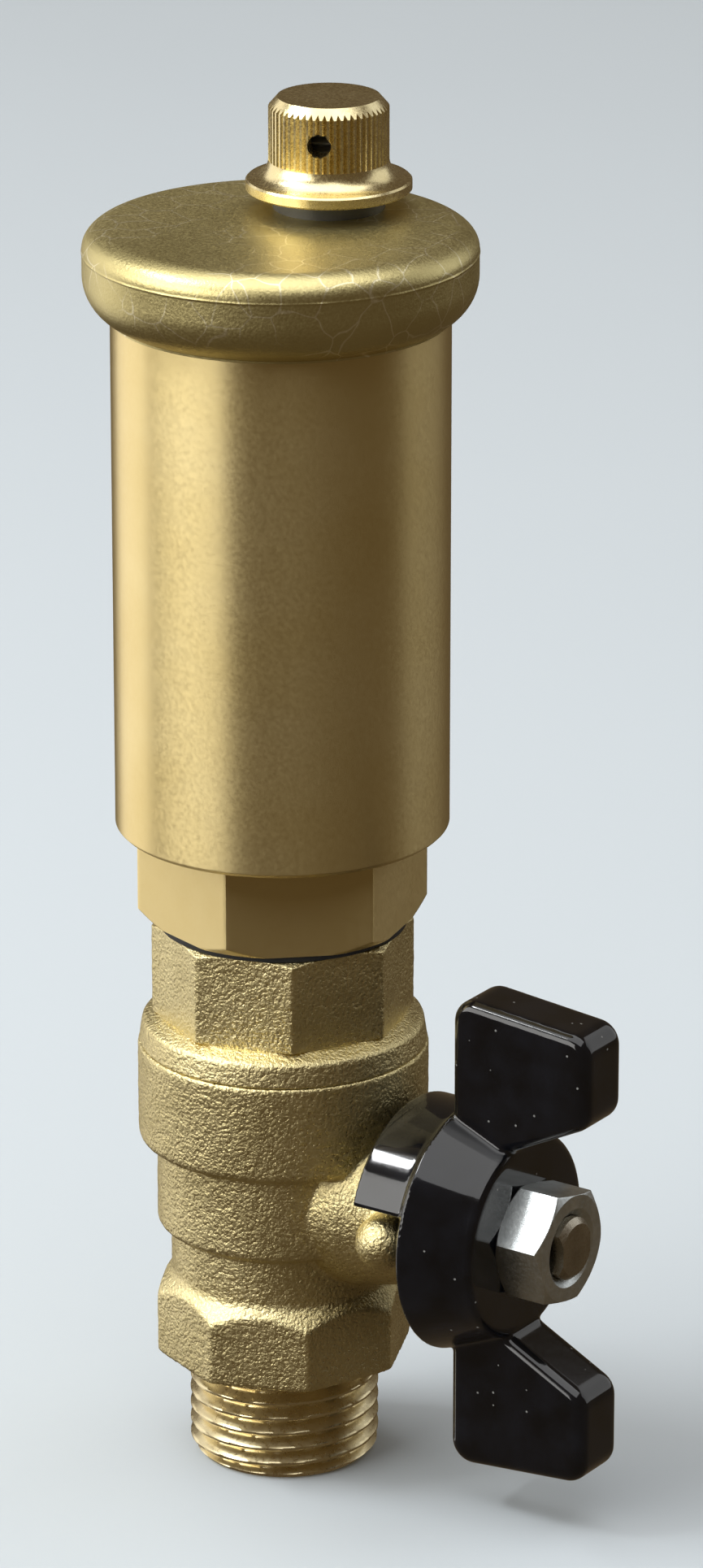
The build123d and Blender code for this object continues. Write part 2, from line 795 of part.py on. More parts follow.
# ---------------------------------------------------------------------------
# Cover, screwed over the top of the vent body, with the hole for the nozzle
# ---------------------------------------------------------------------------
seal_shoulder = vent_top + cover_seal_section
shank_hole_radius = nozzle_shank_radius + running_gap
nozzle_seal_radius = shank_hole_radius + nozzle_seal_section / 2
with BuildPart() as vent_cover:
    with BuildSketch(Plane.XZ):
        with BuildLine():
            land_radius = cover_bore_radius + cover_land
            side_top = cover_top - cover_upper_rounding_height
            flat_radius = cover_radius - cover_upper_rounding_width
            curl_centre = cover_radius - cover_lower_rounding
            curl_turn = degrees(acos((land_radius - curl_centre) / cover_lower_rounding))
            side_bottom = cover_bottom + cover_lower_rounding * sin(radians(curl_turn))
            Line((0, cover_bottom), (land_radius, cover_bottom))
            CenterArc((curl_centre, side_bottom), cover_lower_rounding, -curl_turn, curl_turn)
            Line((cover_radius, side_bottom), (cover_radius, side_top))
            EllipticalCenterArc(
                (flat_radius, side_top),
                cover_upper_rounding_width,
                cover_upper_rounding_height,
                start_angle=0,
                arc_size=90,
            )
            Line((flat_radius, cover_top), (0, cover_top))
            Line((0, cover_top), (0, cover_bottom))
        make_face()
    revolve(axis=Axis.Z)
    with BuildSketch(Plane.XZ):
        draw_profile(
            (0, cover_bottom - 1),
            (cover_bore_radius, cover_bottom - 1),
            (cover_bore_radius, seal_shoulder),
            (vent_inner_radius, seal_shoulder),
            (vent_inner_radius, roof_height),
            (0, roof_height),
        )
    revolve(axis=Axis.Z, mode=Mode.SUBTRACT)
    with BuildSketch(Plane.XY.offset(roof_height - 1)):
        with Locations(nozzle_point):
            Circle(shank_hole_radius)
    extrude(amount=cover_roof + 2, mode=Mode.SUBTRACT)
    with BuildSketch(Plane.XY.offset(cover_top)):
        with Locations(nozzle_point):
            Circle(shank_hole_radius + nozzle_seal_section)
    extrude(amount=-nozzle_seal_section, mode=Mode.SUBTRACT)
save(vent_cover, "vent_cover")

# ---------------------------------------------------------------------------
# Nozzle: threaded spigot, ring on the cover, shank, and the nose that the shutter closes
# ---------------------------------------------------------------------------
nozzle_axis = Axis((0, nozzle_offset, 0), (0, 0, 1))
nozzle_plane = Plane.XZ.offset(-nozzle_offset)
spigot_top = ring_top + spigot_height
with BuildPart() as vent_nozzle:
    with BuildSketch(nozzle_plane):
        draw_profile(
            (nozzle_bore_radius, nose_end),
            (nozzle_nose_radius, nose_end),
            (nozzle_nose_radius, nozzle_nut_bottom),
            (nozzle_shank_radius, nozzle_nut_bottom),
            (nozzle_shank_radius, cover_top),
            (nozzle_ring_radius, cover_top),
            (nozzle_ring_radius, ring_top - cap_edge_break),
            (nozzle_ring_radius - cap_edge_break, ring_top),
            (spigot_radius - spigot_relief, ring_top),
            (spigot_radius - spigot_relief, ring_top + 2 * spigot_relief),
            (spigot_radius, ring_top + 3 * spigot_relief),
            (spigot_radius, spigot_top - spigot_end_chamfer),
            (spigot_radius - spigot_end_chamfer, spigot_top),
            (nozzle_bore_radius, spigot_top),
        )
    revolve(axis=nozzle_axis)
    with BuildSketch(nozzle_plane):
        draw_thread_grooves(
            spigot_radius,
            spigot_thread_depth,
            spigot_pitch,
            fine_thread_crest,
            ring_top + 3.5 * spigot_relief,
            spigot_top - spigot_end_chamfer,
        )
    revolve(axis=nozzle_axis, mode=Mode.SUBTRACT)
save(vent_nozzle, "vent_nozzle")

with BuildPart() as nozzle_seal:
    with BuildSketch(nozzle_plane):
        with Locations((nozzle_seal_radius, cover_top - nozzle_seal_section / 2)):
            Circle(nozzle_seal_section / 2 - seal_gap)
    revolve(axis=nozzle_axis)
save(nozzle_seal, "nozzle_seal")

with BuildPart() as nozzle_nut:
    with BuildSketch(Plane.XY.offset(nozzle_nut_bottom)):
        with Locations(nozzle_point):
            RegularPolygon(radius=nozzle_nut_half_flats, side_count=6, major_radius=False)
            Circle(nozzle_shank_radius + static_gap, mode=Mode.SUBTRACT)
    extrude(amount=nozzle_nut_height)
save(nozzle_nut, "nozzle_nut")

# ---------------------------------------------------------------------------
# Knurled cap with its side hole, and the washer inside it
# ---------------------------------------------------------------------------
cap_bore_radius = spigot_radius + running_gap
washer_top = ring_top + cap_closing_travel + running_gap + cap_washer_thickness
washer_radius = cap_bore_radius + cap_washer_width
with BuildPart() as vent_cap:
    with BuildSketch(nozzle_plane):
        with BuildLine():
            flange_top = cap_bottom + cap_flange_height
            flange_inset = cap_flange_radius - cap_edge_break
            fillet_middle = cap_knurl_radius + cap_fillet_share * (cap_flange_radius - cap_knurl_radius)
            Line((0, cap_bottom), (flange_inset, cap_bottom))
            Line((flange_inset, cap_bottom), (cap_flange_radius, cap_bottom + cap_edge_break))
            Line(
                (cap_flange_radius, cap_bottom + cap_edge_break),
                (cap_flange_radius, flange_top - cap_edge_break),
            )
            Line((cap_flange_radius, flange_top - cap_edge_break), (flange_inset, flange_top))
            ThreePointArc(
                (flange_inset, flange_top),
                (fillet_middle, flange_top + cap_fillet_share * cap_fillet_height),
                (cap_knurl_radius, knurl_bottom),
            )
            Line((cap_knurl_radius, knurl_bottom), (0, knurl_bottom))
            Line((0, knurl_bottom), (0, cap_bottom))
        make_face()
    revolve(axis=nozzle_axis)
    with BuildSketch(Plane.XY.offset(knurl_bottom)):
        with Locations(nozzle_point):
            Circle(cap_knurl_radius)
            with PolarLocations(cap_knurl_radius, knurl_teeth):
                half_groove = knurl_groove_share * pi * cap_knurl_radius / knurl_teeth
                Polygon(
                    (-knurl_depth, 0),
                    (0.1, -half_groove),
                    (0.1, half_groove),
                    align=None,
                    mode=Mode.SUBTRACT,
                )
    extrude(amount=cap_top - knurl_bottom)
    with BuildSketch(nozzle_plane):
        draw_profile(
            (0, cap_bottom),
            (cap_flange_radius + 1, cap_bottom),
            (cap_flange_radius + 1, flange_top),
            (cap_knurl_radius, knurl_bottom),
            (cap_knurl_radius, knurl_top),
            (cap_top_radius, cap_top),
            (0, cap_top),
        )
    revolve(axis=nozzle_axis, mode=Mode.INTERSECT)
    with BuildSketch(nozzle_plane):
        draw_profile(
            (0, cap_bottom - 1),
            (washer_radius + running_gap, cap_bottom - 1),
            (washer_radius + running_gap, washer_top + running_gap),
            (cap_bore_radius, washer_top + running_gap),
            (cap_bore_radius, cap_top - cap_roof),
            (0, cap_top - cap_roof),
        )
    revolve(axis=nozzle_axis, mode=Mode.SUBTRACT)
    hole_heading = radians(cap_hole_heading)
    hole_plane = Plane(
        origin=(0, nozzle_offset, cap_bottom + cap_hole_height),
        z_dir=(cos(hole_heading), sin(hole_heading), 0),
    )
    with BuildSketch(hole_plane):
        Circle(cap_hole_radius)
    extrude(amount=cap_flange_radius, mode=Mode.SUBTRACT)
save(vent_cap, "vent_cap")

with BuildPart() as cap_washer:
    with BuildSketch(Plane.XY.offset(washer_top - cap_washer_thickness)):
        with Locations(nozzle_point):
            Circle(washer_radius)
            Circle(cap_bore_radius + static_gap, mode=Mode.SUBTRACT)
    extrude(amount=cap_washer_thickness)
save(cap_washer, "cap_washer")

# ---------------------------------------------------------------------------
# Bracket under the cover, its pin and the float lever
# ---------------------------------------------------------------------------
ear_bottom = lever_height - ear_half_width
plate_near = nozzle_offset - shank_hole_radius - bracket_plate_margin
plate_far = pin_offset + ear_half_width
plate_half_width = ear_half_spread + ear_thickness
with BuildPart() as lever_bracket:
    with BuildSketch(Plane.XY.offset(plate_bottom)):
        draw_profile(
            (-plate_half_width, plate_near),
            (plate_half_width, plate_near),
            (plate_half_width, plate_far),
            (-plate_half_width, plate_far),
        )
        with Locations(nozzle_point):
            Circle(shank_hole_radius, mode=Mode.SUBTRACT)
    extrude(amount=bracket_plate)
    for start in (-plate_half_width, ear_half_spread):
        with BuildSketch(Plane.YZ.offset(start)):
            draw_profile(
                (pin_offset - ear_half_width, plate_bottom + 0.1),
                (pin_offset - ear_half_width, lever_height),
                (pin_offset + ear_half_width, lever_height),
                (pin_offset + ear_half_width, plate_bottom + 0.1),
            )
            with Locations((pin_offset, lever_height)):
                Circle(ear_half_width)
                Circle(lever_pin_radius + static_gap, mode=Mode.SUBTRACT)
        extrude(amount=ear_thickness)
save(lever_bracket, "lever_bracket")

with BuildPart() as lever_pin:
    pin_end = plate_half_width + lever_pin_head
    with BuildSketch(Plane.YZ.offset(-pin_end)):
        with Locations((pin_offset, lever_height)):
            Circle(lever_pin_radius)
    extrude(amount=2 * pin_end)
    with BuildSketch(Plane.YZ.offset(plate_half_width)):
        with Locations((pin_offset, lever_height)):
            Circle(lever_pin_head_radius)
    extrude(amount=lever_pin_head)
save(lever_pin, "lever_pin")

with BuildPart() as float_lever:
    with BuildSketch(Plane.XY.offset(lever_height - lever_thickness / 2)):
        wide_end = hook_half_depth + lever_shoulder
        draw_profile(
            (-lever_half_width, pin_offset),
            (-lever_half_width, wide_end),
            (-lever_tongue_half_width, wide_end - lever_shoulder_slope),
            (-lever_tongue_half_width, -lever_tongue_reach),
            (lever_tongue_half_width, -lever_tongue_reach),
            (lever_tongue_half_width, wide_end - lever_shoulder_slope),
            (lever_half_width, wide_end),
            (lever_half_width, pin_offset),
        )
    extrude(amount=lever_thickness)
    barrel_half_length = ear_half_spread - moving_gap
    with BuildSketch(Plane.YZ.offset(-barrel_half_length)):
        with Locations((pin_offset, lever_height)):
            Circle(lever_barrel_radius)
    extrude(amount=2 * barrel_half_length)
    with BuildSketch(Plane.YZ.offset(-barrel_half_length - 1)):
        with Locations((pin_offset, lever_height)):
            Circle(lever_pin_radius + running_gap)
    extrude(amount=2 * barrel_half_length + 2, mode=Mode.SUBTRACT)
save(float_lever, "float_lever")

# ---------------------------------------------------------------------------
# Shutter cup that slides on the nozzle's nose, its seal and its spring
# ---------------------------------------------------------------------------
cup_bore_radius = nozzle_nose_radius + running_gap
cup_radius = cup_bore_radius + shutter_wall
with BuildPart() as shutter:
    with BuildSketch(nozzle_plane):
        draw_profile(
            (0, pip_bottom),
            (shutter_pip_radius - shutter_pip_chamfer, pip_bottom),
            (shutter_pip_radius, pip_bottom + shutter_pip_chamfer),
            (shutter_pip_radius, shutter_bottom),
            (shutter_flange_radius, shutter_bottom),
            (shutter_flange_radius, shutter_floor_top - 0.05),
            (cup_radius, shutter_floor_top - 0.05),
            (cup_radius, shutter_bottom + shutter_cup_height),
            (cup_bore_radius, shutter_bottom + shutter_cup_height),
            (cup_bore_radius, shutter_floor_top),
            (0, shutter_floor_top),
        )
    revolve(axis=nozzle_axis)
    with BuildSketch(Plane.YZ.offset(-2 * cup_radius)):
        window_bottom = seal_top + static_gap
        window_top = shutter_bottom + shutter_cup_height - shutter_window_margin
        draw_profile(
            (nozzle_offset - shutter_window_width / 2, window_bottom),
            (nozzle_offset + shutter_window_width / 2, window_bottom),
            (nozzle_offset + shutter_window_width / 2, window_top),
            (nozzle_offset - shutter_window_width / 2, window_top),
        )
    extrude(amount=4 * cup_radius, mode=Mode.SUBTRACT)
save(shutter, "shutter")

with BuildPart() as shutter_seal:
    with BuildSketch(Plane.XY.offset(shutter_floor_top)):
        with Locations(nozzle_point):
            Circle(cup_bore_radius - static_gap)
    extrude(amount=shutter_seal_thickness)
save(shutter_seal, "shutter_seal")

spring_radius = cup_radius + spring_wire_radius + spring_room
spring_bottom = shutter_floor_top + spring_wire_radius
spring_height = nozzle_nut_bottom - spring_wire_radius - spring_bottom - 2 * static_gap
with BuildPart() as shutter_spring:
    with BuildLine(Plane.XY.offset(spring_bottom)):
        Helix(
            pitch=spring_height / spring_turns,
            height=spring_height,
            radius=spring_radius,
            center=(0, nozzle_offset, 0),
        )
    with BuildSketch(Plane.XZ.offset(-nozzle_offset)):
        with Locations((spring_radius, spring_bottom)):
            Circle(spring_wire_radius)
    sweep(is_frenet=True)
save(shutter_spring, "shutter_spring")

# ---------------------------------------------------------------------------
# Float, open at the bottom like a bell, and the hook that hangs it on the lever
# ---------------------------------------------------------------------------
with BuildPart() as vent_float:
    with BuildSketch(Plane.XY.offset(float_bottom)):
        Circle(float_radius)
    extrude(amount=float_length)
    crown_edge = vent_float.faces().sort_by(Axis.Z)[-1].edges()
    fillet(crown_edge, radius=float_rounding)
    with BuildSketch(Plane.XY.offset(float_bottom - 1)):
        Circle(float_radius - float_wall)
    extrude(amount=float_length - float_wall + 1, mode=Mode.SUBTRACT)
    with BuildSketch(Plane.XY.offset(float_top - float_wall - 1)):
        Circle(hook_peg_radius + static_gap)
    extrude(amount=float_wall + 2, mode=Mode.SUBTRACT)
save(vent_float, "vent_float")

with BuildPart() as float_hook:
    with BuildSketch(Plane.XY.offset(float_top)):
        Circle(hook_base_radius)
    extrude(amount=hook_base_thickness)
    with BuildSketch(Plane.XY.offset(float_top - float_wall)):
        Circle(hook_peg_radius)
    extrude(amount=float_wall)
    with BuildSketch(Plane.XY.offset(float_top + hook_base_thickness)):
        Rectangle(2 * hook_half_width, 2 * hook_half_depth)
    extrude(amount=hook_top - float_top - hook_base_thickness)
    with BuildSketch(Plane.XY.offset(lever_height - hook_window_half_height)):
        Rectangle(2 * hook_window_half_width, 4 * hook_half_depth)
    extrude(amount=2 * hook_window_half_height, mode=Mode.SUBTRACT)
save(float_hook, "float_hook")
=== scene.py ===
import math

import bmesh
import bpy
import numpy as np
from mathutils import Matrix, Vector, noise


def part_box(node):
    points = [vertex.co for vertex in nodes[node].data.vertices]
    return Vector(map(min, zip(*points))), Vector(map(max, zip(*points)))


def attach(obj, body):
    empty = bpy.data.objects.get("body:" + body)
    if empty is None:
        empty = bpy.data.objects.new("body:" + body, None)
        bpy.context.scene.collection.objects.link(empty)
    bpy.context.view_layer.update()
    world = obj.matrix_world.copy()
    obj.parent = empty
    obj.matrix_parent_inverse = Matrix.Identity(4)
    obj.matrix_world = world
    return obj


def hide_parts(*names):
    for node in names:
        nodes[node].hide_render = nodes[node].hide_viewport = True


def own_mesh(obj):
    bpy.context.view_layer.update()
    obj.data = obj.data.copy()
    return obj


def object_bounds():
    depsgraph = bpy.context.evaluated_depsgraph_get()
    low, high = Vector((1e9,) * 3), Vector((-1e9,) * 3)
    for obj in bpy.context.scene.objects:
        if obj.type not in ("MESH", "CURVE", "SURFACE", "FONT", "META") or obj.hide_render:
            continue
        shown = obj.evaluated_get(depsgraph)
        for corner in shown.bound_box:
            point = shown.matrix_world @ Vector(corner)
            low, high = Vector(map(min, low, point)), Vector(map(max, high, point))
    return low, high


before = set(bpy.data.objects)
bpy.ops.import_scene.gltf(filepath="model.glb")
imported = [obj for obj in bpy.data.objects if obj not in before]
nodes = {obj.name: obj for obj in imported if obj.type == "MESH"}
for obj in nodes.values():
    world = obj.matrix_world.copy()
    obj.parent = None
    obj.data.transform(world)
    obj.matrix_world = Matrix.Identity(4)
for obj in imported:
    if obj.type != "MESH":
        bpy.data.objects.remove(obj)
cad_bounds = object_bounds()

# ---------------------------------------------------------------------------
# Valve body. A hot-pressed brass casting, grey-gold and sandy to the touch,
# with soft edges; its octagon, ball section, collar, stem boss and stop lug are one piece.
# ---------------------------------------------------------------------------


def rounded_outline(corners, spacing):
    """Turns (radius, height, rounding) corners in mm into a closed run of close points."""
    count = len(corners)
    path = []
    for index, (radius, height, rounding) in enumerate(corners):
        here = np.array((radius, height), float)
        if rounding <= 0:
            path.append(here)
            continue
        before = np.array(corners[index - 1][:2], float) - here
        after = np.array(corners[(index + 1) % count][:2], float) - here
        near = np.linalg.norm(before)
        far = np.linalg.norm(after)
        turn = math.acos(max(-1.0, min(1.0, float(before @ after) / (near * far))))
        reach = min(rounding / max(math.tan(turn / 2), 0.01), 0.48 * near, 0.48 * far)
        start = here + before / near * reach
        end = here + after / far * reach
        for step in np.linspace(0, 1, 6):
            path.append((1 - step) ** 2 * start + 2 * step * (1 - step) * here + step**2 * end)
    rows = []
    for index, point in enumerate(path):
        target = path[(index + 1) % len(path)]
        parts = max(1, math.ceil(np.linalg.norm(target - point) / spacing))
        for part in range(parts):
            rows.append(point + (target - point) * part / parts)
    return np.array(rows)


def soft_smaller(first, second, blend):
    """The smaller of two radii, rounded over where they cross."""
    overlap = np.maximum(blend - np.abs(first - second), 0) / blend
    return np.minimum(first, second) - overlap * overlap * blend / 4


def flat_sides(angle, sides, turn, half_flats):
    """Radius of a regular bar of flats at each angle round it."""
    sector = 2 * math.pi / sides
    local = np.mod(angle - math.radians(turn), sector) - sector / 2
    return half_flats / np.cos(local)


def turned_piece(name, rows, steps, shape=None, middle=(0, 0), along="Z"):
    """Sweeps an outline in mm round an axis, with an optional shape(radius, height, angle)."""
    angle = np.linspace(0, 2 * math.pi, steps, endpoint=False)[None, :]
    radius = np.repeat(rows[:, :1], steps, axis=1)
    height = np.repeat(rows[:, 1:], steps, axis=1)
    angle = np.repeat(angle, len(rows), axis=0)
    if shape is not None:
        radius, height = shape(radius, height, angle)
    across = radius * np.cos(angle) + middle[0]
    deep = radius * np.sin(angle) + middle[1]
    places = (across, deep, height) if along == "Z" else (height, across, deep)
    points = np.stack(places, axis=-1).reshape(-1, 3) / 1000
    index = np.arange(len(rows) * steps).reshape(len(rows), steps)
    below = np.roll(index, -1, axis=0)
    quads = np.stack(
        (index, np.roll(index, -1, axis=1), np.roll(below, -1, axis=1), below), axis=-1
    )
    mesh = bpy.data.meshes.new(name)
    mesh.from_pydata(points.tolist(), [], quads.reshape(-1, 4).tolist())
    tidy = bmesh.new()
    tidy.from_mesh(mesh)
    bmesh.ops.remove_doubles(tidy, verts=tidy.verts, dist=1e-7)
    loose = [point for point in tidy.verts if not point.link_faces]
    bmesh.ops.delete(tidy, geom=loose, context="VERTS")
    bmesh.ops.recalc_face_normals(tidy, faces=tidy.faces)
    tidy.to_mesh(mesh)
    tidy.free()
    return finished_object(name, mesh, 38)


def finished_object(name, mesh, sharp_over):
    """Puts a mesh in the scene, shaded smooth except over sharp corners."""
    mesh.polygons.foreach_set("use_smooth", [True] * len(mesh.polygons))
    mesh.set_sharp_from_angle(angle=math.radians(sharp_over))
    piece = bpy.data.objects.new(name, mesh)
    bpy.context.scene.collection.objects.link(piece)
    return piece


def melted(name, sources, cell, smoothing, cutters=(), sharp_over=55):
    """Joins closed meshes into one skin with soft inside corners, then cuts holes in it."""
    joined = bmesh.new()
    for source in sources:
        joined.from_mesh(source.data)
    mesh = bpy.data.meshes.new(name)
    joined.to_mesh(mesh)
    joined.free()
    piece = bpy.data.objects.new(name, mesh)
    bpy.context.scene.collection.objects.link(piece)
    skin = piece.modifiers.new("skin", "REMESH")
    skin.mode = "VOXEL"
    skin.voxel_size = cell / 1000
    soften = piece.modifiers.new("soften", "SMOOTH")
    soften.factor = 0.5
    soften.iterations = smoothing
    for cutter in cutters:
        cut = piece.modifiers.new("cut", "BOOLEAN")
        cut.operation = "DIFFERENCE"
        cut.solver = "EXACT"
        cut.object = cutter
    bpy.context.view_layer.update()
    settled = piece.evaluated_get(bpy.context.evaluated_depsgraph_get())
    baked = bpy.data.meshes.new_from_object(settled)
    baked.name = name
    bpy.data.objects.remove(piece)
    for source in [*sources, *cutters]:
        bpy.data.objects.remove(source)
    return finished_object(name, baked, sharp_over)


def sand_grain(piece, size, depth, keep=None):
    """Pushes the skin in and out as the sand of a mould leaves it; sizes in mm."""
    mesh = piece.data
    places = [vertex.co.copy() for vertex in mesh.vertices]
    normals = [vertex.normal.copy() for vertex in mesh.vertices]
    for vertex, place, normal in zip(mesh.vertices, places, normals):
        if keep is not None and keep(place):
            continue
        coarse = noise.noise(place * (1000 / size))
        fine = noise.noise(place * (2100 / size))
        broad = noise.noise(place * 160)
        vertex.co = place + normal * (depth / 1000) * (0.6 * coarse + 0.5 * fine + 0.5 * broad)


def metal_finish(
    name, bright, dull, rough, spread, patch, grain, depth, lines=None, brushed=0.0, scratches=None
):
    """Metal that varies in tone and polish; sizes in mm.

    lines is (spacing, depth, axis) of tool marks, and scratches is (spacing, width).
    """
    material = bpy.data.materials.new(name)
    material.use_nodes = True
    tree = material.node_tree
    shader = tree.nodes["Principled BSDF"]
    shader.inputs["Metallic"].default_value = 1.0
    shader.inputs["Anisotropic"].default_value = brushed
    spot = tree.nodes.new("ShaderNodeTexCoord")
    patches = tree.nodes.new("ShaderNodeTexNoise")
    patches.inputs["Scale"].default_value = 1000 / patch
    patches.inputs["Detail"].default_value = 5
    tree.links.new(spot.outputs["Object"], patches.inputs["Vector"])
    tones = tree.nodes.new("ShaderNodeValToRGB")
    tones.color_ramp.elements[0].position = 0.32
    tones.color_ramp.elements[0].color = (*dull, 1)
    tones.color_ramp.elements[1].position = 0.68
    tones.color_ramp.elements[1].color = (*bright, 1)
    tree.links.new(patches.outputs["Fac"], tones.inputs["Fac"])
    tree.links.new(tones.outputs["Color"], shader.inputs["Base Color"])
    if scratches is not None:
        scratch_spacing, scratch_width = scratches
        wander = tree.nodes.new("ShaderNodeTexNoise")
        wander.inputs["Scale"].default_value = 700 / scratch_spacing
        tree.links.new(spot.outputs["Object"], wander.inputs["Vector"])
        bend = tree.nodes.new("ShaderNodeVectorMath")
        bend.operation = "MULTIPLY_ADD"
        bend.inputs[1].default_value = [scratch_spacing / 1400] * 3
        tree.links.new(wander.outputs["Color"], bend.inputs[0])
        tree.links.new(spot.outputs["Object"], bend.inputs[2])
        cracks = tree.nodes.new("ShaderNodeTexVoronoi")
        cracks.feature = "DISTANCE_TO_EDGE"
        cracks.inputs["Scale"].default_value = 1000 / scratch_spacing
        tree.links.new(bend.outputs["Vector"], cracks.inputs["Vector"])
        thin = tree.nodes.new("ShaderNodeMapRange")
        thin.inputs["From Min"].default_value = 0.0
        thin.inputs["From Max"].default_value = scratch_width / scratch_spacing
        thin.inputs["To Min"].default_value = 1.0
        thin.inputs["To Max"].default_value = 0.0
        tree.links.new(cracks.outputs["Distance"], thin.inputs["Value"])
        sparse = tree.nodes.new("ShaderNodeMapRange")
        sparse.inputs["From Min"].default_value = 0.46
        sparse.inputs["From Max"].default_value = 0.54
        sparse.inputs["To Max"].default_value = 0.8
        tree.links.new(patches.outputs["Fac"], sparse.inputs["Value"])
        mask = tree.nodes.new("ShaderNodeMath")
        mask.operation = "MULTIPLY"
        tree.links.new(thin.outputs["Result"], mask.inputs[0])
        tree.links.new(sparse.outputs["Result"], mask.inputs[1])
        scuffed = tree.nodes.new("ShaderNodeMix")
        scuffed.data_type = "RGBA"
        scuffed.inputs[7].default_value = (0.97, 0.90, 0.66, 1)
        tree.links.new(mask.outputs["Value"], scuffed.inputs[0])
        tree.links.new(tones.outputs["Color"], scuffed.inputs[6])
        tree.links.new(scuffed.outputs[2], shader.inputs["Base Color"])
    sand = tree.nodes.new("ShaderNodeTexNoise")
    sand.inputs["Scale"].default_value = 1000 / grain
    sand.inputs["Detail"].default_value = 4
    tree.links.new(spot.outputs["Object"], sand.inputs["Vector"])
    polish = tree.nodes.new("ShaderNodeMapRange")
    polish.inputs["From Min"].default_value = 0.3
    polish.inputs["From Max"].default_value = 0.7
    polish.inputs["To Min"].default_value = rough - spread
    polish.inputs["To Max"].default_value = rough + spread
    tree.links.new(sand.outputs["Fac"], polish.inputs["Value"])
    tree.links.new(polish.outputs["Result"], shader.inputs["Roughness"])
    relief = tree.nodes.new("ShaderNodeBump")
    relief.inputs["Strength"].default_value = 1.0
    relief.inputs["Distance"].default_value = depth / 1000
    tree.links.new(sand.outputs["Fac"], relief.inputs["Height"])
    tree.links.new(relief.outputs["Normal"], shader.inputs["Normal"])
    if lines is not None:
        line_spacing, line_depth, line_axis = lines
        stretch = tree.nodes.new("ShaderNodeMapping")
        scales = [0.012, 0.012, 0.012]
        scales[line_axis] = 1.0
        stretch.inputs["Scale"].default_value = scales
        marks = tree.nodes.new("ShaderNodeTexNoise")
        marks.inputs["Scale"].default_value = 1000 / line_spacing
        marks.inputs["Detail"].default_value = 3
        tree.links.new(spot.outputs["Object"], stretch.inputs["Vector"])
        tree.links.new(stretch.outputs["Vector"], marks.inputs["Vector"])
        scored = tree.nodes.new("ShaderNodeBump")
        scored.inputs["Strength"].default_value = 1.0
        scored.inputs["Distance"].default_value = line_depth / 1000
        tree.links.new(marks.outputs["Fac"], scored.inputs["Height"])
        tree.links.new(relief.outputs["Normal"], scored.inputs["Normal"])
        tree.links.new(scored.outputs["Normal"], shader.inputs["Normal"])
        if brushed > 0:
            around = tree.nodes.new("ShaderNodeTangent")
            around.direction_type = "RADIAL"
            around.axis = "XYZ"[line_axis]
            shader.inputs["Anisotropic Rotation"].default_value = 0.25
            tree.links.new(around.outputs["Tangent"], shader.inputs["Tangent"])
    return material


def coat(piece, material):
    """Gives a piece its finish."""
    piece.data.materials.clear()
    piece.data.materials.append(material)


cast_brass = metal_finish(
    "cast_brass",
    bright=(0.86, 0.75, 0.42),
    dull=(0.68, 0.58, 0.30),
    rough=0.36,
    spread=0.12,
    patch=9,
    grain=0.36,
    depth=0.20,
)

octagon_radius = 14.3
octagon_top = 7.0
neck_radius = 12.43
neck_bottom = 9.3
ball_section_radius = 13.93
ball_section_bottom = 15.3
collar_radius = 15.95
collar_bottom = 25.4
collar_top = 36.6
shank_bore_radius = 11.4
shank_floor = 26.45
ball_room_radius = 9.4
ball_room_floor = 13.5
throat_radius = 5.5
throat_top = 11.15
throat_bottom = 8.5
inlet_bore_radius = 7.5
inlet_bore_top = 6.5
stem_height = 20.35
body_rows = rounded_outline(
    [
        (octagon_radius, 0.0, 0.4),
        (octagon_radius, octagon_top, 0.4),
        (neck_radius, neck_bottom, 1.6),
        (neck_radius, ball_section_bottom, 0.8),
        (ball_section_radius, ball_section_bottom, 0.8),
        (ball_section_radius, collar_bottom, 0.9),
        (collar_radius, collar_bottom, 1.3),
        (collar_radius, collar_top, 0.35),
        (shank_bore_radius, collar_top, 0.0),
        (shank_bore_radius, shank_floor, 0.0),
        (ball_room_radius, shank_floor, 0.0),
        (ball_room_radius, ball_room_floor, 0.0),
        (throat_radius, throat_top, 0.0),
        (throat_radius, throat_bottom, 0.0),
        (inlet_bore_radius, inlet_bore_top, 0.0),
        (inlet_bore_radius, 0.0, 0.3),
    ],
    spacing=0.25,
)


def lower_octagon(radius, height, angle):
    side = flat_sides(angle, 8, 0, octagon_radius * math.cos(math.pi / 8))
    on_octagon = (height < neck_bottom + 0.01) & (radius > 11.9)
    return np.where(on_octagon, soft_smaller(radius, side, 0.16), radius), height


body_stock = turned_piece("body_stock", body_rows, 360, lower_octagon)
boss_root_radius = 9.8
boss_end_radius = 7.4
boss_start = 10.0
boss_end = 22.35
boss_rows = rounded_outline(
    [
        (0.0, boss_start, 0.0),
        (boss_root_radius, boss_start, 0.0),
        (boss_root_radius, ball_section_radius - 1.03, 0.6),
        (boss_end_radius, boss_end, 0.5),
        (0.0, boss_end, 0.0),
    ],
    spacing=0.3,
)
boss_stock = turned_piece("boss_stock", boss_rows, 160, middle=(0, stem_height), along="X")
lug_place = 19.85
lug_radius = 3.05
lug_root = 4.0
lug_shoulder = 9.95
lug_corners = [(0.0, lug_root, 0.0), (lug_radius, lug_root, 0.0), (lug_radius, lug_shoulder, 0.0)]
for step in range(1, 10):
    turn = math.radians(10 * step)
    dome = (lug_radius * math.cos(turn), lug_shoulder + lug_radius * math.sin(turn), 0.0)
    lug_corners.append(dome)
lug_stock = turned_piece("lug_stock", rounded_outline(lug_corners, spacing=0.3), 72)
for vertex in lug_stock.data.vertices:
    across, deep, height = vertex.co
    vertex.co = (across + lug_place / 1000, -height, deep + stem_height / 1000)
flange_pocket_radius = 5.3
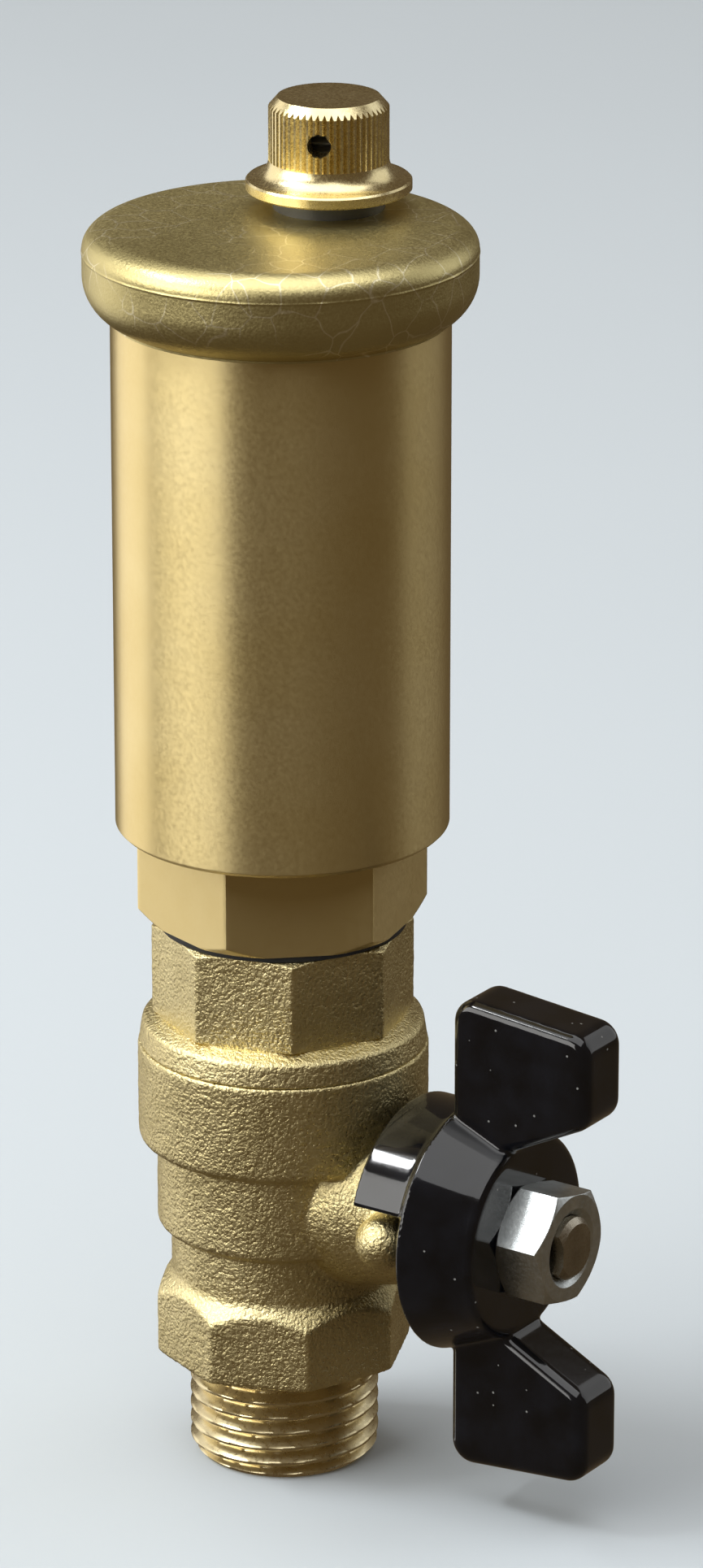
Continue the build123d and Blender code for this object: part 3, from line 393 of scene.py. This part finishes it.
flange_pocket_end = 11.3
stem_bore_radius = 4.05
stem_bore_rows = np.array(
    [
        (0.0, boss_start - 2),
        (flange_pocket_radius, boss_start - 2),
        (flange_pocket_radius, flange_pocket_end),
        (stem_bore_radius, flange_pocket_end),
        (stem_bore_radius, boss_end + 1.15),
        (0.0, boss_end + 1.15),
    ]
)
stem_bore = turned_piece("stem_bore", stem_bore_rows, 96, middle=(0, stem_height), along="X")
valve_body = melted(
    "valve_body_cast",
    [body_stock, boss_stock, lug_stock],
    cell=0.22,
    smoothing=3,
    cutters=[stem_bore],
)
sand_grain(valve_body, size=1.0, depth=0.06)
coat(valve_body, cast_brass)
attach(valve_body, "fitting")
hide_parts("valve_body")

# ---------------------------------------------------------------------------
# Inlet thread. Cut on the casting's lower end after pressing, so it is bright, sharp
# and smooth against the sandy body; a right-hand pipe thread with a plain lead-in.
# ---------------------------------------------------------------------------
cut_brass = metal_finish(
    "cut_brass",
    bright=(0.88, 0.78, 0.50),
    dull=(0.74, 0.63, 0.38),
    rough=0.30,
    spread=0.06,
    patch=5,
    grain=0.5,
    depth=0.006,
    lines=(0.09, 0.004, 2),
)


def helical_grooves(radius, height, angle, crest_radius, groove, pitch, crest_share, top, bottom):
    """Cuts a right-hand helical V groove into the outer wall between two heights."""
    turn = np.mod(height / pitch - angle / (2 * math.pi), 1.0)
    from_crest = np.abs(turn - 0.5) * 2
    cut = np.clip((from_crest - crest_share) / (0.96 - crest_share), 0, 1)
    fade = np.clip((top - height) / (0.5 * pitch), 0, 1)
    outer = radius > crest_radius - groove - 0.9
    lowered = np.minimum(radius, crest_radius - groove * cut * fade)
    return np.where(outer & (height < top) & (height > bottom), lowered, radius), height


thread_radius = 10.4775
thread_pitch = 1.814
thread_depth = 1.12
thread_end = -12.3


def inlet_grooves(radius, height, angle):
    return helical_grooves(
        radius,
        height,
        angle,
        crest_radius=thread_radius,
        groove=thread_depth,
        pitch=thread_pitch,
        crest_share=0.16,
        top=-0.5,
        bottom=thread_end + 0.1,
    )


thread_rows = rounded_outline(
    [
        (thread_radius, 0.6, 0.0),
        (thread_radius, thread_end + 1.0, 0.0),
        (thread_radius - 1.0775, thread_end, 0.15),
        (inlet_bore_radius, thread_end, 0.2),
        (inlet_bore_radius, 0.6, 0.0),
    ],
    spacing=0.11,
)
inlet_thread = turned_piece("inlet_thread", thread_rows, 240, inlet_grooves)
coat(inlet_thread, cut_brass)
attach(inlet_thread, "fitting")
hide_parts("valve_body")

# ---------------------------------------------------------------------------
# Ball, seats and stem. The ball is chromed brass between two white seats; the stem is
# turned from brass rod, with two flats and a threaded end that shows in the nut.
# ---------------------------------------------------------------------------
chrome = metal_finish(
    "ball_chrome",
    bright=(0.62, 0.63, 0.64),
    dull=(0.52, 0.53, 0.55),
    rough=0.10,
    spread=0.03,
    patch=6,
    grain=0.6,
    depth=0.002,
)
coat(nodes["valve_ball"], chrome)
stem_brass = metal_finish(
    "stem_brass",
    bright=(0.50, 0.46, 0.38),
    dull=(0.36, 0.32, 0.25),
    rough=0.32,
    spread=0.08,
    patch=3,
    grain=0.25,
    depth=0.02,
    lines=(0.12, 0.006, 0),
)
coat(nodes["valve_stem"], stem_brass)
coat(nodes["nozzle_nut"], stem_brass)


def soft_finish(name, colour, other, rough, grain, depth, patch=6.0):
    """Rubber, seat or moulded plastic with a slightly uneven skin; sizes in mm."""
    material = bpy.data.materials.new(name)
    material.use_nodes = True
    tree = material.node_tree
    shader = tree.nodes["Principled BSDF"]
    shader.inputs["Roughness"].default_value = rough
    spot = tree.nodes.new("ShaderNodeTexCoord")
    patches = tree.nodes.new("ShaderNodeTexNoise")
    patches.inputs["Scale"].default_value = 1000 / patch
    patches.inputs["Detail"].default_value = 4
    tree.links.new(spot.outputs["Object"], patches.inputs["Vector"])
    tones = tree.nodes.new("ShaderNodeValToRGB")
    tones.color_ramp.elements[0].position = 0.3
    tones.color_ramp.elements[0].color = (*other, 1)
    tones.color_ramp.elements[1].position = 0.7
    tones.color_ramp.elements[1].color = (*colour, 1)
    tree.links.new(patches.outputs["Fac"], tones.inputs["Fac"])
    tree.links.new(tones.outputs["Color"], shader.inputs["Base Color"])
    skin = tree.nodes.new("ShaderNodeTexNoise")
    skin.inputs["Scale"].default_value = 1000 / grain
    tree.links.new(spot.outputs["Object"], skin.inputs["Vector"])
    relief = tree.nodes.new("ShaderNodeBump")
    relief.inputs["Distance"].default_value = depth / 1000
    tree.links.new(skin.outputs["Fac"], relief.inputs["Height"])
    tree.links.new(relief.outputs["Normal"], shader.inputs["Normal"])
    return material


white_seat = soft_finish(
    "white_seat",
    colour=(0.80, 0.79, 0.74),
    other=(0.70, 0.69, 0.64),
    rough=0.35,
    grain=0.4,
    depth=0.01,
)
black_rubber = soft_finish(
    "black_rubber",
    colour=(0.022, 0.021, 0.020),
    other=(0.012, 0.012, 0.012),
    rough=0.6,
    grain=0.3,
    depth=0.02,
)
for seat in ("lower_seat_ring", "upper_seat_ring", "stem_thrust_washer"):
    coat(nodes[seat], white_seat)
for seal in ("adapter_seal", "stem_orings", "cover_seal", "nozzle_seal", "cap_washer", "shutter_seal"):
    coat(nodes[seal], black_rubber)

# ---------------------------------------------------------------------------
# Butterfly handle. Cast and dipped in thick gloss black, so each edge is fat and round
# and the coat pools in the corners; a few specks of dust lie on it.
# ---------------------------------------------------------------------------
black_gloss = bpy.data.materials.new("black_gloss")
black_gloss.use_nodes = True
gloss_tree = black_gloss.node_tree
gloss = gloss_tree.nodes["Principled BSDF"]
gloss.inputs["Roughness"].default_value = 0.12
gloss.inputs["Coat Weight"].default_value = 1.0
gloss.inputs["Coat IOR"].default_value = 1.38
gloss.inputs["Coat Roughness"].default_value = 0.04
gloss.inputs["Specular IOR Level"].default_value = 0.3
gloss_spot = gloss_tree.nodes.new("ShaderNodeTexCoord")
dust = gloss_tree.nodes.new("ShaderNodeTexVoronoi")
dust.inputs["Scale"].default_value = 420
gloss_tree.links.new(gloss_spot.outputs["Object"], dust.inputs["Vector"])
speck = gloss_tree.nodes.new("ShaderNodeMath")
speck.operation = "LESS_THAN"
speck.inputs[1].default_value = 0.055
gloss_tree.links.new(dust.outputs["Distance"], speck.inputs[0])
haze = gloss_tree.nodes.new("ShaderNodeTexNoise")
haze.inputs["Scale"].default_value = 260
haze.inputs["Detail"].default_value = 6
gloss_tree.links.new(gloss_spot.outputs["Object"], haze.inputs["Vector"])
film = gloss_tree.nodes.new("ShaderNodeValToRGB")
film.color_ramp.elements[0].position = 0.35
film.color_ramp.elements[0].color = (0.0022, 0.0024, 0.0034, 1)
film.color_ramp.elements[1].position = 0.75
film.color_ramp.elements[1].color = (0.0060, 0.0068, 0.0100, 1)
gloss_tree.links.new(haze.outputs["Fac"], film.inputs["Fac"])
dusty = gloss_tree.nodes.new("ShaderNodeMix")
dusty.data_type = "RGBA"
dusty.inputs[7].default_value = (0.20, 0.20, 0.19, 1)
gloss_tree.links.new(speck.outputs["Value"], dusty.inputs[0])
gloss_tree.links.new(film.outputs["Color"], dusty.inputs[6])
gloss_tree.links.new(dusty.outputs[2], gloss.inputs["Base Color"])
ripple = gloss_tree.nodes.new("ShaderNodeBump")
ripple.inputs["Distance"].default_value = 0.00004
ripple.inputs["Strength"].default_value = 0.5
gloss_tree.links.new(haze.outputs["Fac"], ripple.inputs["Height"])
gloss_tree.links.new(ripple.outputs["Normal"], gloss.inputs["Normal"])

handle_stock = bpy.data.objects.new("handle_stock", nodes["valve_handle"].data.copy())
bpy.context.scene.collection.objects.link(handle_stock)
handle = melted("handle_dipped", [handle_stock], cell=0.2, smoothing=5, sharp_over=180)
coat(handle, black_gloss)
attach(handle, "valve_works")
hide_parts("valve_handle")

# ---------------------------------------------------------------------------
# Handle nut. A zinc-plated steel hexagon nut with turned-down corners and a countersunk
# face, which holds the handle on the stem's flats.
# ---------------------------------------------------------------------------
zinc = metal_finish(
    "zinc",
    bright=(0.72, 0.76, 0.77),
    dull=(0.55, 0.59, 0.60),
    rough=0.38,
    spread=0.08,
    patch=2.6,
    grain=0.35,
    depth=0.010,
    lines=(0.16, 0.005, 2),
)
nut_low, nut_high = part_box("handle_nut")
nut_back = nut_low.x * 1000
nut_front = nut_high.x * 1000
nut_flats = 5.95
nut_corner = nut_flats / math.cos(math.pi / 6)
nut_hole = 3.56
countersink = 4.4
nut_turn = -12
nut_rows = rounded_outline(
    [
        (nut_corner - 0.7, nut_back, 0.05),
        (nut_corner + 0.02, nut_back + 0.45, 0.0),
        (nut_corner + 0.02, nut_front - 0.5, 0.0),
        (nut_corner - 0.95, nut_front, 0.12),
        (countersink, nut_front, 0.15),
        (nut_hole, nut_front - 0.75, 0.1),
        (nut_hole, nut_back, 0.0),
    ],
    spacing=0.1,
)


def nut_hexagon(radius, height, angle):
    side = flat_sides(angle, 6, nut_turn, nut_flats)
    on_flats = radius > countersink + 0.2
    return np.where(on_flats, soft_smaller(radius, side, 0.12), radius), height


handle_nut = turned_piece("handle_nut_plated", nut_rows, 360, nut_hexagon, (0, stem_height), "X")
coat(handle_nut, zinc)
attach(handle_nut, "valve_works")
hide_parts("handle_nut")

# ---------------------------------------------------------------------------
# End adapter. A second brass pressing screwed into the collar: a low flange, a short
# cone and an octagon for the spanner, all with the same sandy skin.
# ---------------------------------------------------------------------------
seam = 0.02
adapter_cone_bottom = 39.2
adapter_octagon_bottom = 40.1
adapter_octagon_radius = 14.4
adapter_octagon_turn = -6.5
adapter_top = 50.4
adapter_socket_radius = 10.35
adapter_socket_floor = 38.2
adapter_shank_radius = shank_bore_radius - 0.1
adapter_shank_bottom = 27.65
seat_pocket_radius = 8.62
seat_pocket_top = 29.6
adapter_rows = rounded_outline(
    [
        (collar_radius - 0.13, collar_top + seam, 0.25),
        (collar_radius - 0.5, adapter_cone_bottom, 0.9),
        (adapter_octagon_radius - 0.9, adapter_octagon_bottom, 0.5),
        (adapter_octagon_radius, adapter_octagon_bottom + 0.05, 0.0),
        (adapter_octagon_radius, adapter_top - 0.4, 0.15),
        (adapter_octagon_radius - 0.8, adapter_top, 0.2),
        (adapter_socket_radius, adapter_top, 0.2),
        (adapter_socket_radius, adapter_socket_floor, 0.0),
        (adapter_socket_radius - 1.2, adapter_socket_floor, 0.0),
        (throat_radius, seat_pocket_top + 1.8, 0.0),
        (throat_radius, seat_pocket_top, 0.0),
        (seat_pocket_radius, seat_pocket_top, 0.0),
        (seat_pocket_radius, adapter_shank_bottom, 0.0),
        (adapter_shank_radius, adapter_shank_bottom, 0.0),
        (adapter_shank_radius, collar_top + seam, 0.0),
    ],
    spacing=0.2,
)


def upper_octagon(radius, height, angle):
    half_flats = adapter_octagon_radius * math.cos(math.pi / 8)
    side = flat_sides(angle, 8, adapter_octagon_turn, half_flats)
    on_octagon = (height > adapter_octagon_bottom - 0.1) & (radius > 12.5)
    return np.where(on_octagon, soft_smaller(radius, side, 0.16), radius), height


def inside_adapter(place):
    return place.to_2d().length < 0.0125


adapter = turned_piece("end_adapter_cast", adapter_rows, 480, upper_octagon)
sand_grain(adapter, size=1.0, depth=0.05, keep=inside_adapter)
coat(adapter, cast_brass)
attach(adapter, "fitting")
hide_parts("end_adapter")

# ---------------------------------------------------------------------------
# Joint gasket. A thin black fibre ring pinched between the adapter and the hexagon,
# squeezed out a little unevenly round its edge.
# ---------------------------------------------------------------------------
gasket_bottom = adapter_top + seam
gasket_top = 51.13
gasket_outer = 13.62
gasket_inner = 10.6
gasket_rows = rounded_outline(
    [
        (gasket_outer, gasket_bottom, 0.2),
        (gasket_outer, gasket_top, 0.2),
        (gasket_inner, gasket_top, 0.0),
        (gasket_inner, gasket_bottom, 0.0),
    ],
    spacing=0.12,
)


def squeezed_edge(radius, height, angle):
    swell = 0.06 * np.sin(3 * angle + 0.7) + 0.04 * np.sin(11 * angle)
    return np.where(radius > 13, radius + swell, radius), height


gasket = turned_piece("joint_gasket_ring", gasket_rows, 240, squeezed_edge)
coat(gasket, black_rubber)
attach(gasket, "fitting")
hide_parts("joint_gasket")

# ---------------------------------------------------------------------------
# Vent body. Turned from hexagon brass bar: a long smooth barrel with fine lathe marks
# running round it, and the bar's own drawn flats left at the bottom for a spanner.
# ---------------------------------------------------------------------------
turned_brass = metal_finish(
    "turned_brass",
    bright=(0.87, 0.72, 0.37),
    dull=(0.81, 0.65, 0.30),
    rough=0.39,
    spread=0.04,
    patch=14,
    grain=0.45,
    depth=0.003,
    lines=(0.11, 0.0035, 2),
    brushed=0.85,
)
hexagon_bottom = 51.17
hexagon_top = 61.7
hexagon_radius = 15.94
hexagon_turn = -18
barrel_radius = 18.15
barrel_top = 124.7
chamber_radius = 16.6
chamber_floor = 63.4
vent_bore_radius = 7.3
vent_thread_radius = 10.28
vent_thread_end = 40.2
vent_rows = rounded_outline(
    [
        (hexagon_radius - 1.64, hexagon_bottom, 0.15),
        (hexagon_radius, hexagon_bottom + 1.23, 0.1),
        (hexagon_radius, hexagon_top, 0.0),
        (barrel_radius - 0.45, hexagon_top, 0.15),
        (barrel_radius, hexagon_top + 0.45, 0.25),
        (barrel_radius, barrel_top, 0.0),
        (chamber_radius, barrel_top, 0.0),
        (chamber_radius, chamber_floor, 0.0),
        (vent_bore_radius + 4.0, chamber_floor, 0.0),
        (vent_bore_radius, hexagon_top - 1.0, 0.0),
        (vent_bore_radius, vent_thread_end, 0.0),
        (vent_thread_radius - 0.98, vent_thread_end, 0.0),
        (vent_thread_radius, vent_thread_end + 1.0, 0.0),
        (vent_thread_radius, hexagon_bottom, 0.0),
    ],
    spacing=0.2,
)


def spanner_hexagon(radius, height, angle):
    side = flat_sides(angle, 6, hexagon_turn, hexagon_radius * math.cos(math.pi / 6))
    beside = (height > hexagon_bottom - 0.07) & (height < hexagon_top + 0.01)
    on_hexagon = beside & (radius > 12.6) & (radius < hexagon_radius + 0.01)
    return np.where(on_hexagon, soft_smaller(radius, side, 0.14), radius), height


vent_body = turned_piece("vent_body_turned", vent_rows, 480, spanner_hexagon)
coat(vent_body, turned_brass)
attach(vent_body, "fitting")
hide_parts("vent_body")

# ---------------------------------------------------------------------------
# Cover. A hot stamping, bead-blasted to an olive gold, screwed over the top of the
# barrel; a hair of flash runs round its widest line where the two dies met, and its
# skin is lightly scratched.
# ---------------------------------------------------------------------------
stamped_brass = metal_finish(
    "stamped_brass",
    bright=(0.68, 0.59, 0.29),
    dull=(0.56, 0.48, 0.22),
    rough=0.40,
    spread=0.07,
    patch=11,
    grain=0.28,
    depth=0.035,
    scratches=(4.0, 0.11),
)
cover_low, cover_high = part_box("vent_cover")
cover_bottom = cover_low.z * 1000
cover_top = cover_high.z * 1000
cover_outer = cover_high.x * 1000
flash_rise = 0.09
flash_width = 0.11
flash_height = cover_bottom + 7.25
cover_wall = cover_outer - flash_rise
curl_radius = 5.0
curl_top = cover_bottom + 4.77
lip_width = 3.0
lip_rise = 2.4
cover_roof = cover_top - 2.0
cover_bore_radius = 18.22
cover_bore_top = cover_bottom + 7.2
curl = [
    (
        cover_wall - curl_radius + curl_radius * math.cos(math.radians(turn)),
        curl_top - curl_radius * math.sin(math.radians(turn)),
        0.0,
    )
    for turn in range(66, 0, -6)
]
side = [(cover_wall, curl_top + 0.065 * step, 0.0) for step in range(42)]
lip = [
    (
        cover_wall - lip_width + lip_width * math.cos(math.radians(turn)),
        cover_top - lip_rise + lip_rise * math.sin(math.radians(turn)),
        0.0,
    )
    for turn in range(0, 91, 6)
]
inside = [
    (0.0, cover_top, 0.0),
    (0.0, cover_roof, 0.0),
    (chamber_radius, cover_roof, 0.0),
    (chamber_radius, cover_bore_top, 0.0),
    (cover_bore_radius, cover_bore_top, 0.0),
    (cover_bore_radius, cover_bottom, 0.1),
]
cover_rows = rounded_outline([*curl, *side, *lip, *inside], spacing=0.25)


def die_flash(radius, height, angle):
    ridge = flash_rise * np.exp(-(((height - flash_height) / flash_width) ** 2))
    ragged = 0.75 + 0.25 * np.sin(23 * angle) * np.sin(7 * angle + 1)
    return np.where(radius > cover_wall - 0.2, radius + ridge * ragged, radius), height


vent_cover = turned_piece("vent_cover_stamped", cover_rows, 360, die_flash)
coat(vent_cover, stamped_brass)
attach(vent_cover, "fitting")
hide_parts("vent_cover")

# ---------------------------------------------------------------------------
# Nozzle. A dark grey moulding: a ring that lies on the cover, and a threaded spigot
# that the cap screws down, which shows through the cap's side hole.
# ---------------------------------------------------------------------------
grey_plastic = soft_finish(
    "grey_plastic",
    colour=(0.060, 0.062, 0.062),
    other=(0.040, 0.041, 0.042),
    rough=0.42,
    grain=0.5,
    depth=0.02,
)
coat(nodes["vent_nozzle"], grey_plastic)

# ---------------------------------------------------------------------------
# Vent cap. Turned brass with a straight knurl round its grip, a dished flange below
# and one drilled hole in its side for the air to leave by.
# ---------------------------------------------------------------------------
cap_brass = metal_finish(
    "cap_brass",
    bright=(0.92, 0.80, 0.48),
    dull=(0.80, 0.67, 0.36),
    rough=0.27,
    spread=0.06,
    patch=4,
    grain=0.3,
    depth=0.01,
)
coat(nodes["vent_cap"], cap_brass)

# ---------------------------------------------------------------------------
# Float and lever work. A white plastic bell hangs from a pressed steel lever under the
# cover; none of it shows while the vent is closed up.
# ---------------------------------------------------------------------------
steel = metal_finish(
    "steel",
    bright=(0.60, 0.60, 0.59),
    dull=(0.47, 0.47, 0.46),
    rough=0.3,
    spread=0.06,
    patch=3,
    grain=0.3,
    depth=0.008,
)
float_plastic = soft_finish(
    "float_plastic",
    colour=(0.78, 0.77, 0.72),
    other=(0.71, 0.70, 0.65),
    rough=0.4,
    grain=0.8,
    depth=0.015,
)
for name in ("lever_bracket", "lever_pin", "float_lever"):
    coat(nodes[name], steel)
for name in ("vent_float", "float_hook", "shutter"):
    coat(nodes[name], float_plastic)

# ---------------------------------------------------------------------------
# Shutter spring. Four turns of steel wire round the shutter's cup; the whole coil moves with the cup.
# ---------------------------------------------------------------------------
spring_low, spring_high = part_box("shutter_spring")
wire_radius = 0.00025
spring_turns = 4
spring_middle = (spring_low + spring_high) / 2
coil_radius = (spring_high.x - spring_low.x) / 2 - wire_radius
coil_rise = spring_high.z - spring_low.z - 2 * wire_radius
ring_count = spring_turns * 36
ring_points = 12
spring_points = []
for step in range(ring_count + 1):
    turned = 2 * math.pi * spring_turns * step / ring_count
    outward = Vector((math.cos(turned), math.sin(turned), 0))
    centre = Vector((spring_middle.x, spring_middle.y, spring_low.z + wire_radius))
    centre += outward * coil_radius + Vector((0, 0, coil_rise * step / ring_count))
    for corner in range(ring_points):
        round_wire = 2 * math.pi * corner / ring_points
        reach = outward * math.cos(round_wire) + Vector((0, 0, math.sin(round_wire)))
        spring_points.append(centre + reach * wire_radius)
spring_faces = [
    (
        step * ring_points + corner,
        step * ring_points + (corner + 1) % ring_points,
        (step + 1) * ring_points + (corner + 1) % ring_points,
        (step + 1) * ring_points + corner,
    )
    for step in range(ring_count)
    for corner in range(ring_points)
]
spring_faces.append(tuple(range(ring_points)))
spring_faces.append(tuple(ring_count * ring_points + corner for corner in range(ring_points)))
spring_mesh = bpy.data.meshes.new("shutter_spring_coil")
spring_mesh.from_pydata(spring_points, [], spring_faces)
spring_skin = bmesh.new()
spring_skin.from_mesh(spring_mesh)
bmesh.ops.recalc_face_normals(spring_skin, faces=spring_skin.faces)
spring_skin.to_mesh(spring_mesh)
spring_skin.free()
spring = finished_object("shutter_spring_coil", spring_mesh, 50)
coat(spring, steel)
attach(spring, "shutter_works")
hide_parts("shutter_spring")
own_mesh(spring)

# ---------------------------------------------------------------------------
# Floor. A wide sheet of pale blue-grey paper that the vent stands on, on its inlet's end.
# It stays out of mirror reflections, as a matt sweep well below the object would.
# ---------------------------------------------------------------------------
floor_height = cad_bounds[0][2]
floor_mesh = bpy.data.meshes.new("paper_floor")
floor_reach = 6.0
cells = 8
floor_lines = cells + 1
floor_points = [
    (floor_reach * (2 * a / cells - 1), floor_reach * (2 * b / cells - 1), floor_height)
    for a in range(floor_lines)
    for b in range(floor_lines)
]
floor_quads = [
    (
        a * floor_lines + b,
        (a + 1) * floor_lines + b,
        (a + 1) * floor_lines + b + 1,
        a * floor_lines + b + 1,
    )
    for a in range(cells)
    for b in range(cells)
]
floor_mesh.from_pydata(floor_points, [], floor_quads)
floor = bpy.data.objects.new("paper_floor", floor_mesh)
bpy.context.scene.collection.objects.link(floor)
paper = soft_finish(
    "paper",
    colour=(0.560, 0.612, 0.652),
    other=(0.554, 0.606, 0.646),
    rough=0.95,
    grain=0.5,
    depth=0.01,
    patch=90.0,
)
floor.data.materials.append(paper)
floor.visible_glossy = False

# ---------------------------------------------------------------------------
# Light. A wide soft window of light high on the left, a weaker one behind it, a dim one
# at the right, an even sky panel above and a small bright strip that edges the black
# gloss; the rest of the room is a warm brown dusk.
# ---------------------------------------------------------------------------


camera_azimuth = math.radians(34)


def soft_window(name, heading, distance, height, width, tall, watts, colour):
    """A soft rectangular light; heading is degrees to the camera's left, round the object."""
    facing = camera_azimuth - math.radians(heading)
    place = Vector((math.sin(facing) * distance, -math.cos(facing) * distance, height))
    panel = bpy.data.lights.new(name, "AREA")
    panel.shape = "RECTANGLE"
    panel.size = width
    panel.size_y = tall
    panel.energy = watts
    panel.color = colour
    lamp = bpy.data.objects.new(name, panel)
    lamp.location = place
    towards = Vector((0, 0, 0.06)) - place
    lamp.rotation_euler = towards.to_track_quat("-Z", "Y").to_euler()
    bpy.context.scene.collection.objects.link(lamp)


soft_window("left_window", 66, 1.0, 0.44, 1.15, 0.66, 9.0, (1.0, 0.99, 0.96))
soft_window("back_left_window", 122, 1.1, 0.1, 0.9, 1.4, 4.4, (1.0, 0.98, 0.95))
soft_window("right_window", -112, 1.1, 0.5, 1.0, 0.9, 2.2, (0.95, 0.98, 1.0))
soft_window("sky_panel", 30, 0.15, 1.4, 1.8, 1.8, 19.0, (0.98, 0.99, 1.0))
soft_window("high_strip", 91, 0.80, 1.05, 0.55, 0.14, 6.5, (0.97, 0.99, 1.0))
world = bpy.data.worlds.new("room")
bpy.context.scene.world = world
world.use_nodes = True
world.node_tree.nodes["Background"].inputs["Color"].default_value = (0.108, 0.079, 0.047, 1)
world.node_tree.nodes["Background"].inputs["Strength"].default_value = 0.9

# ---------------------------------------------------------------------------
# Camera. A long lens a little above the vent, looking down at it from the right front.
# ---------------------------------------------------------------------------
camera_pitch = math.radians(19.88)
camera_distance = 0.800
right = Vector((math.cos(camera_azimuth), math.sin(camera_azimuth), 0))
back = Vector((math.sin(camera_azimuth), -math.cos(camera_azimuth), math.tan(camera_pitch)))
back.normalize()
aim = Vector((0, 0, 0.06598)) + right * 0.00749
lens = bpy.data.cameras.new("camera")
lens.sensor_fit = "VERTICAL"
lens.sensor_height = 36
lens.lens = 169.4184
lens.clip_start = 0.05
lens.clip_end = 30
camera = bpy.data.objects.new("camera", lens)
camera.location = aim + back * camera_distance
camera.rotation_euler = back.to_track_quat("Z", "Y").to_euler()
bpy.context.scene.collection.objects.link(camera)
bpy.context.scene.camera = camera
bpy.context.scene.view_settings.view_transform = "Standard"
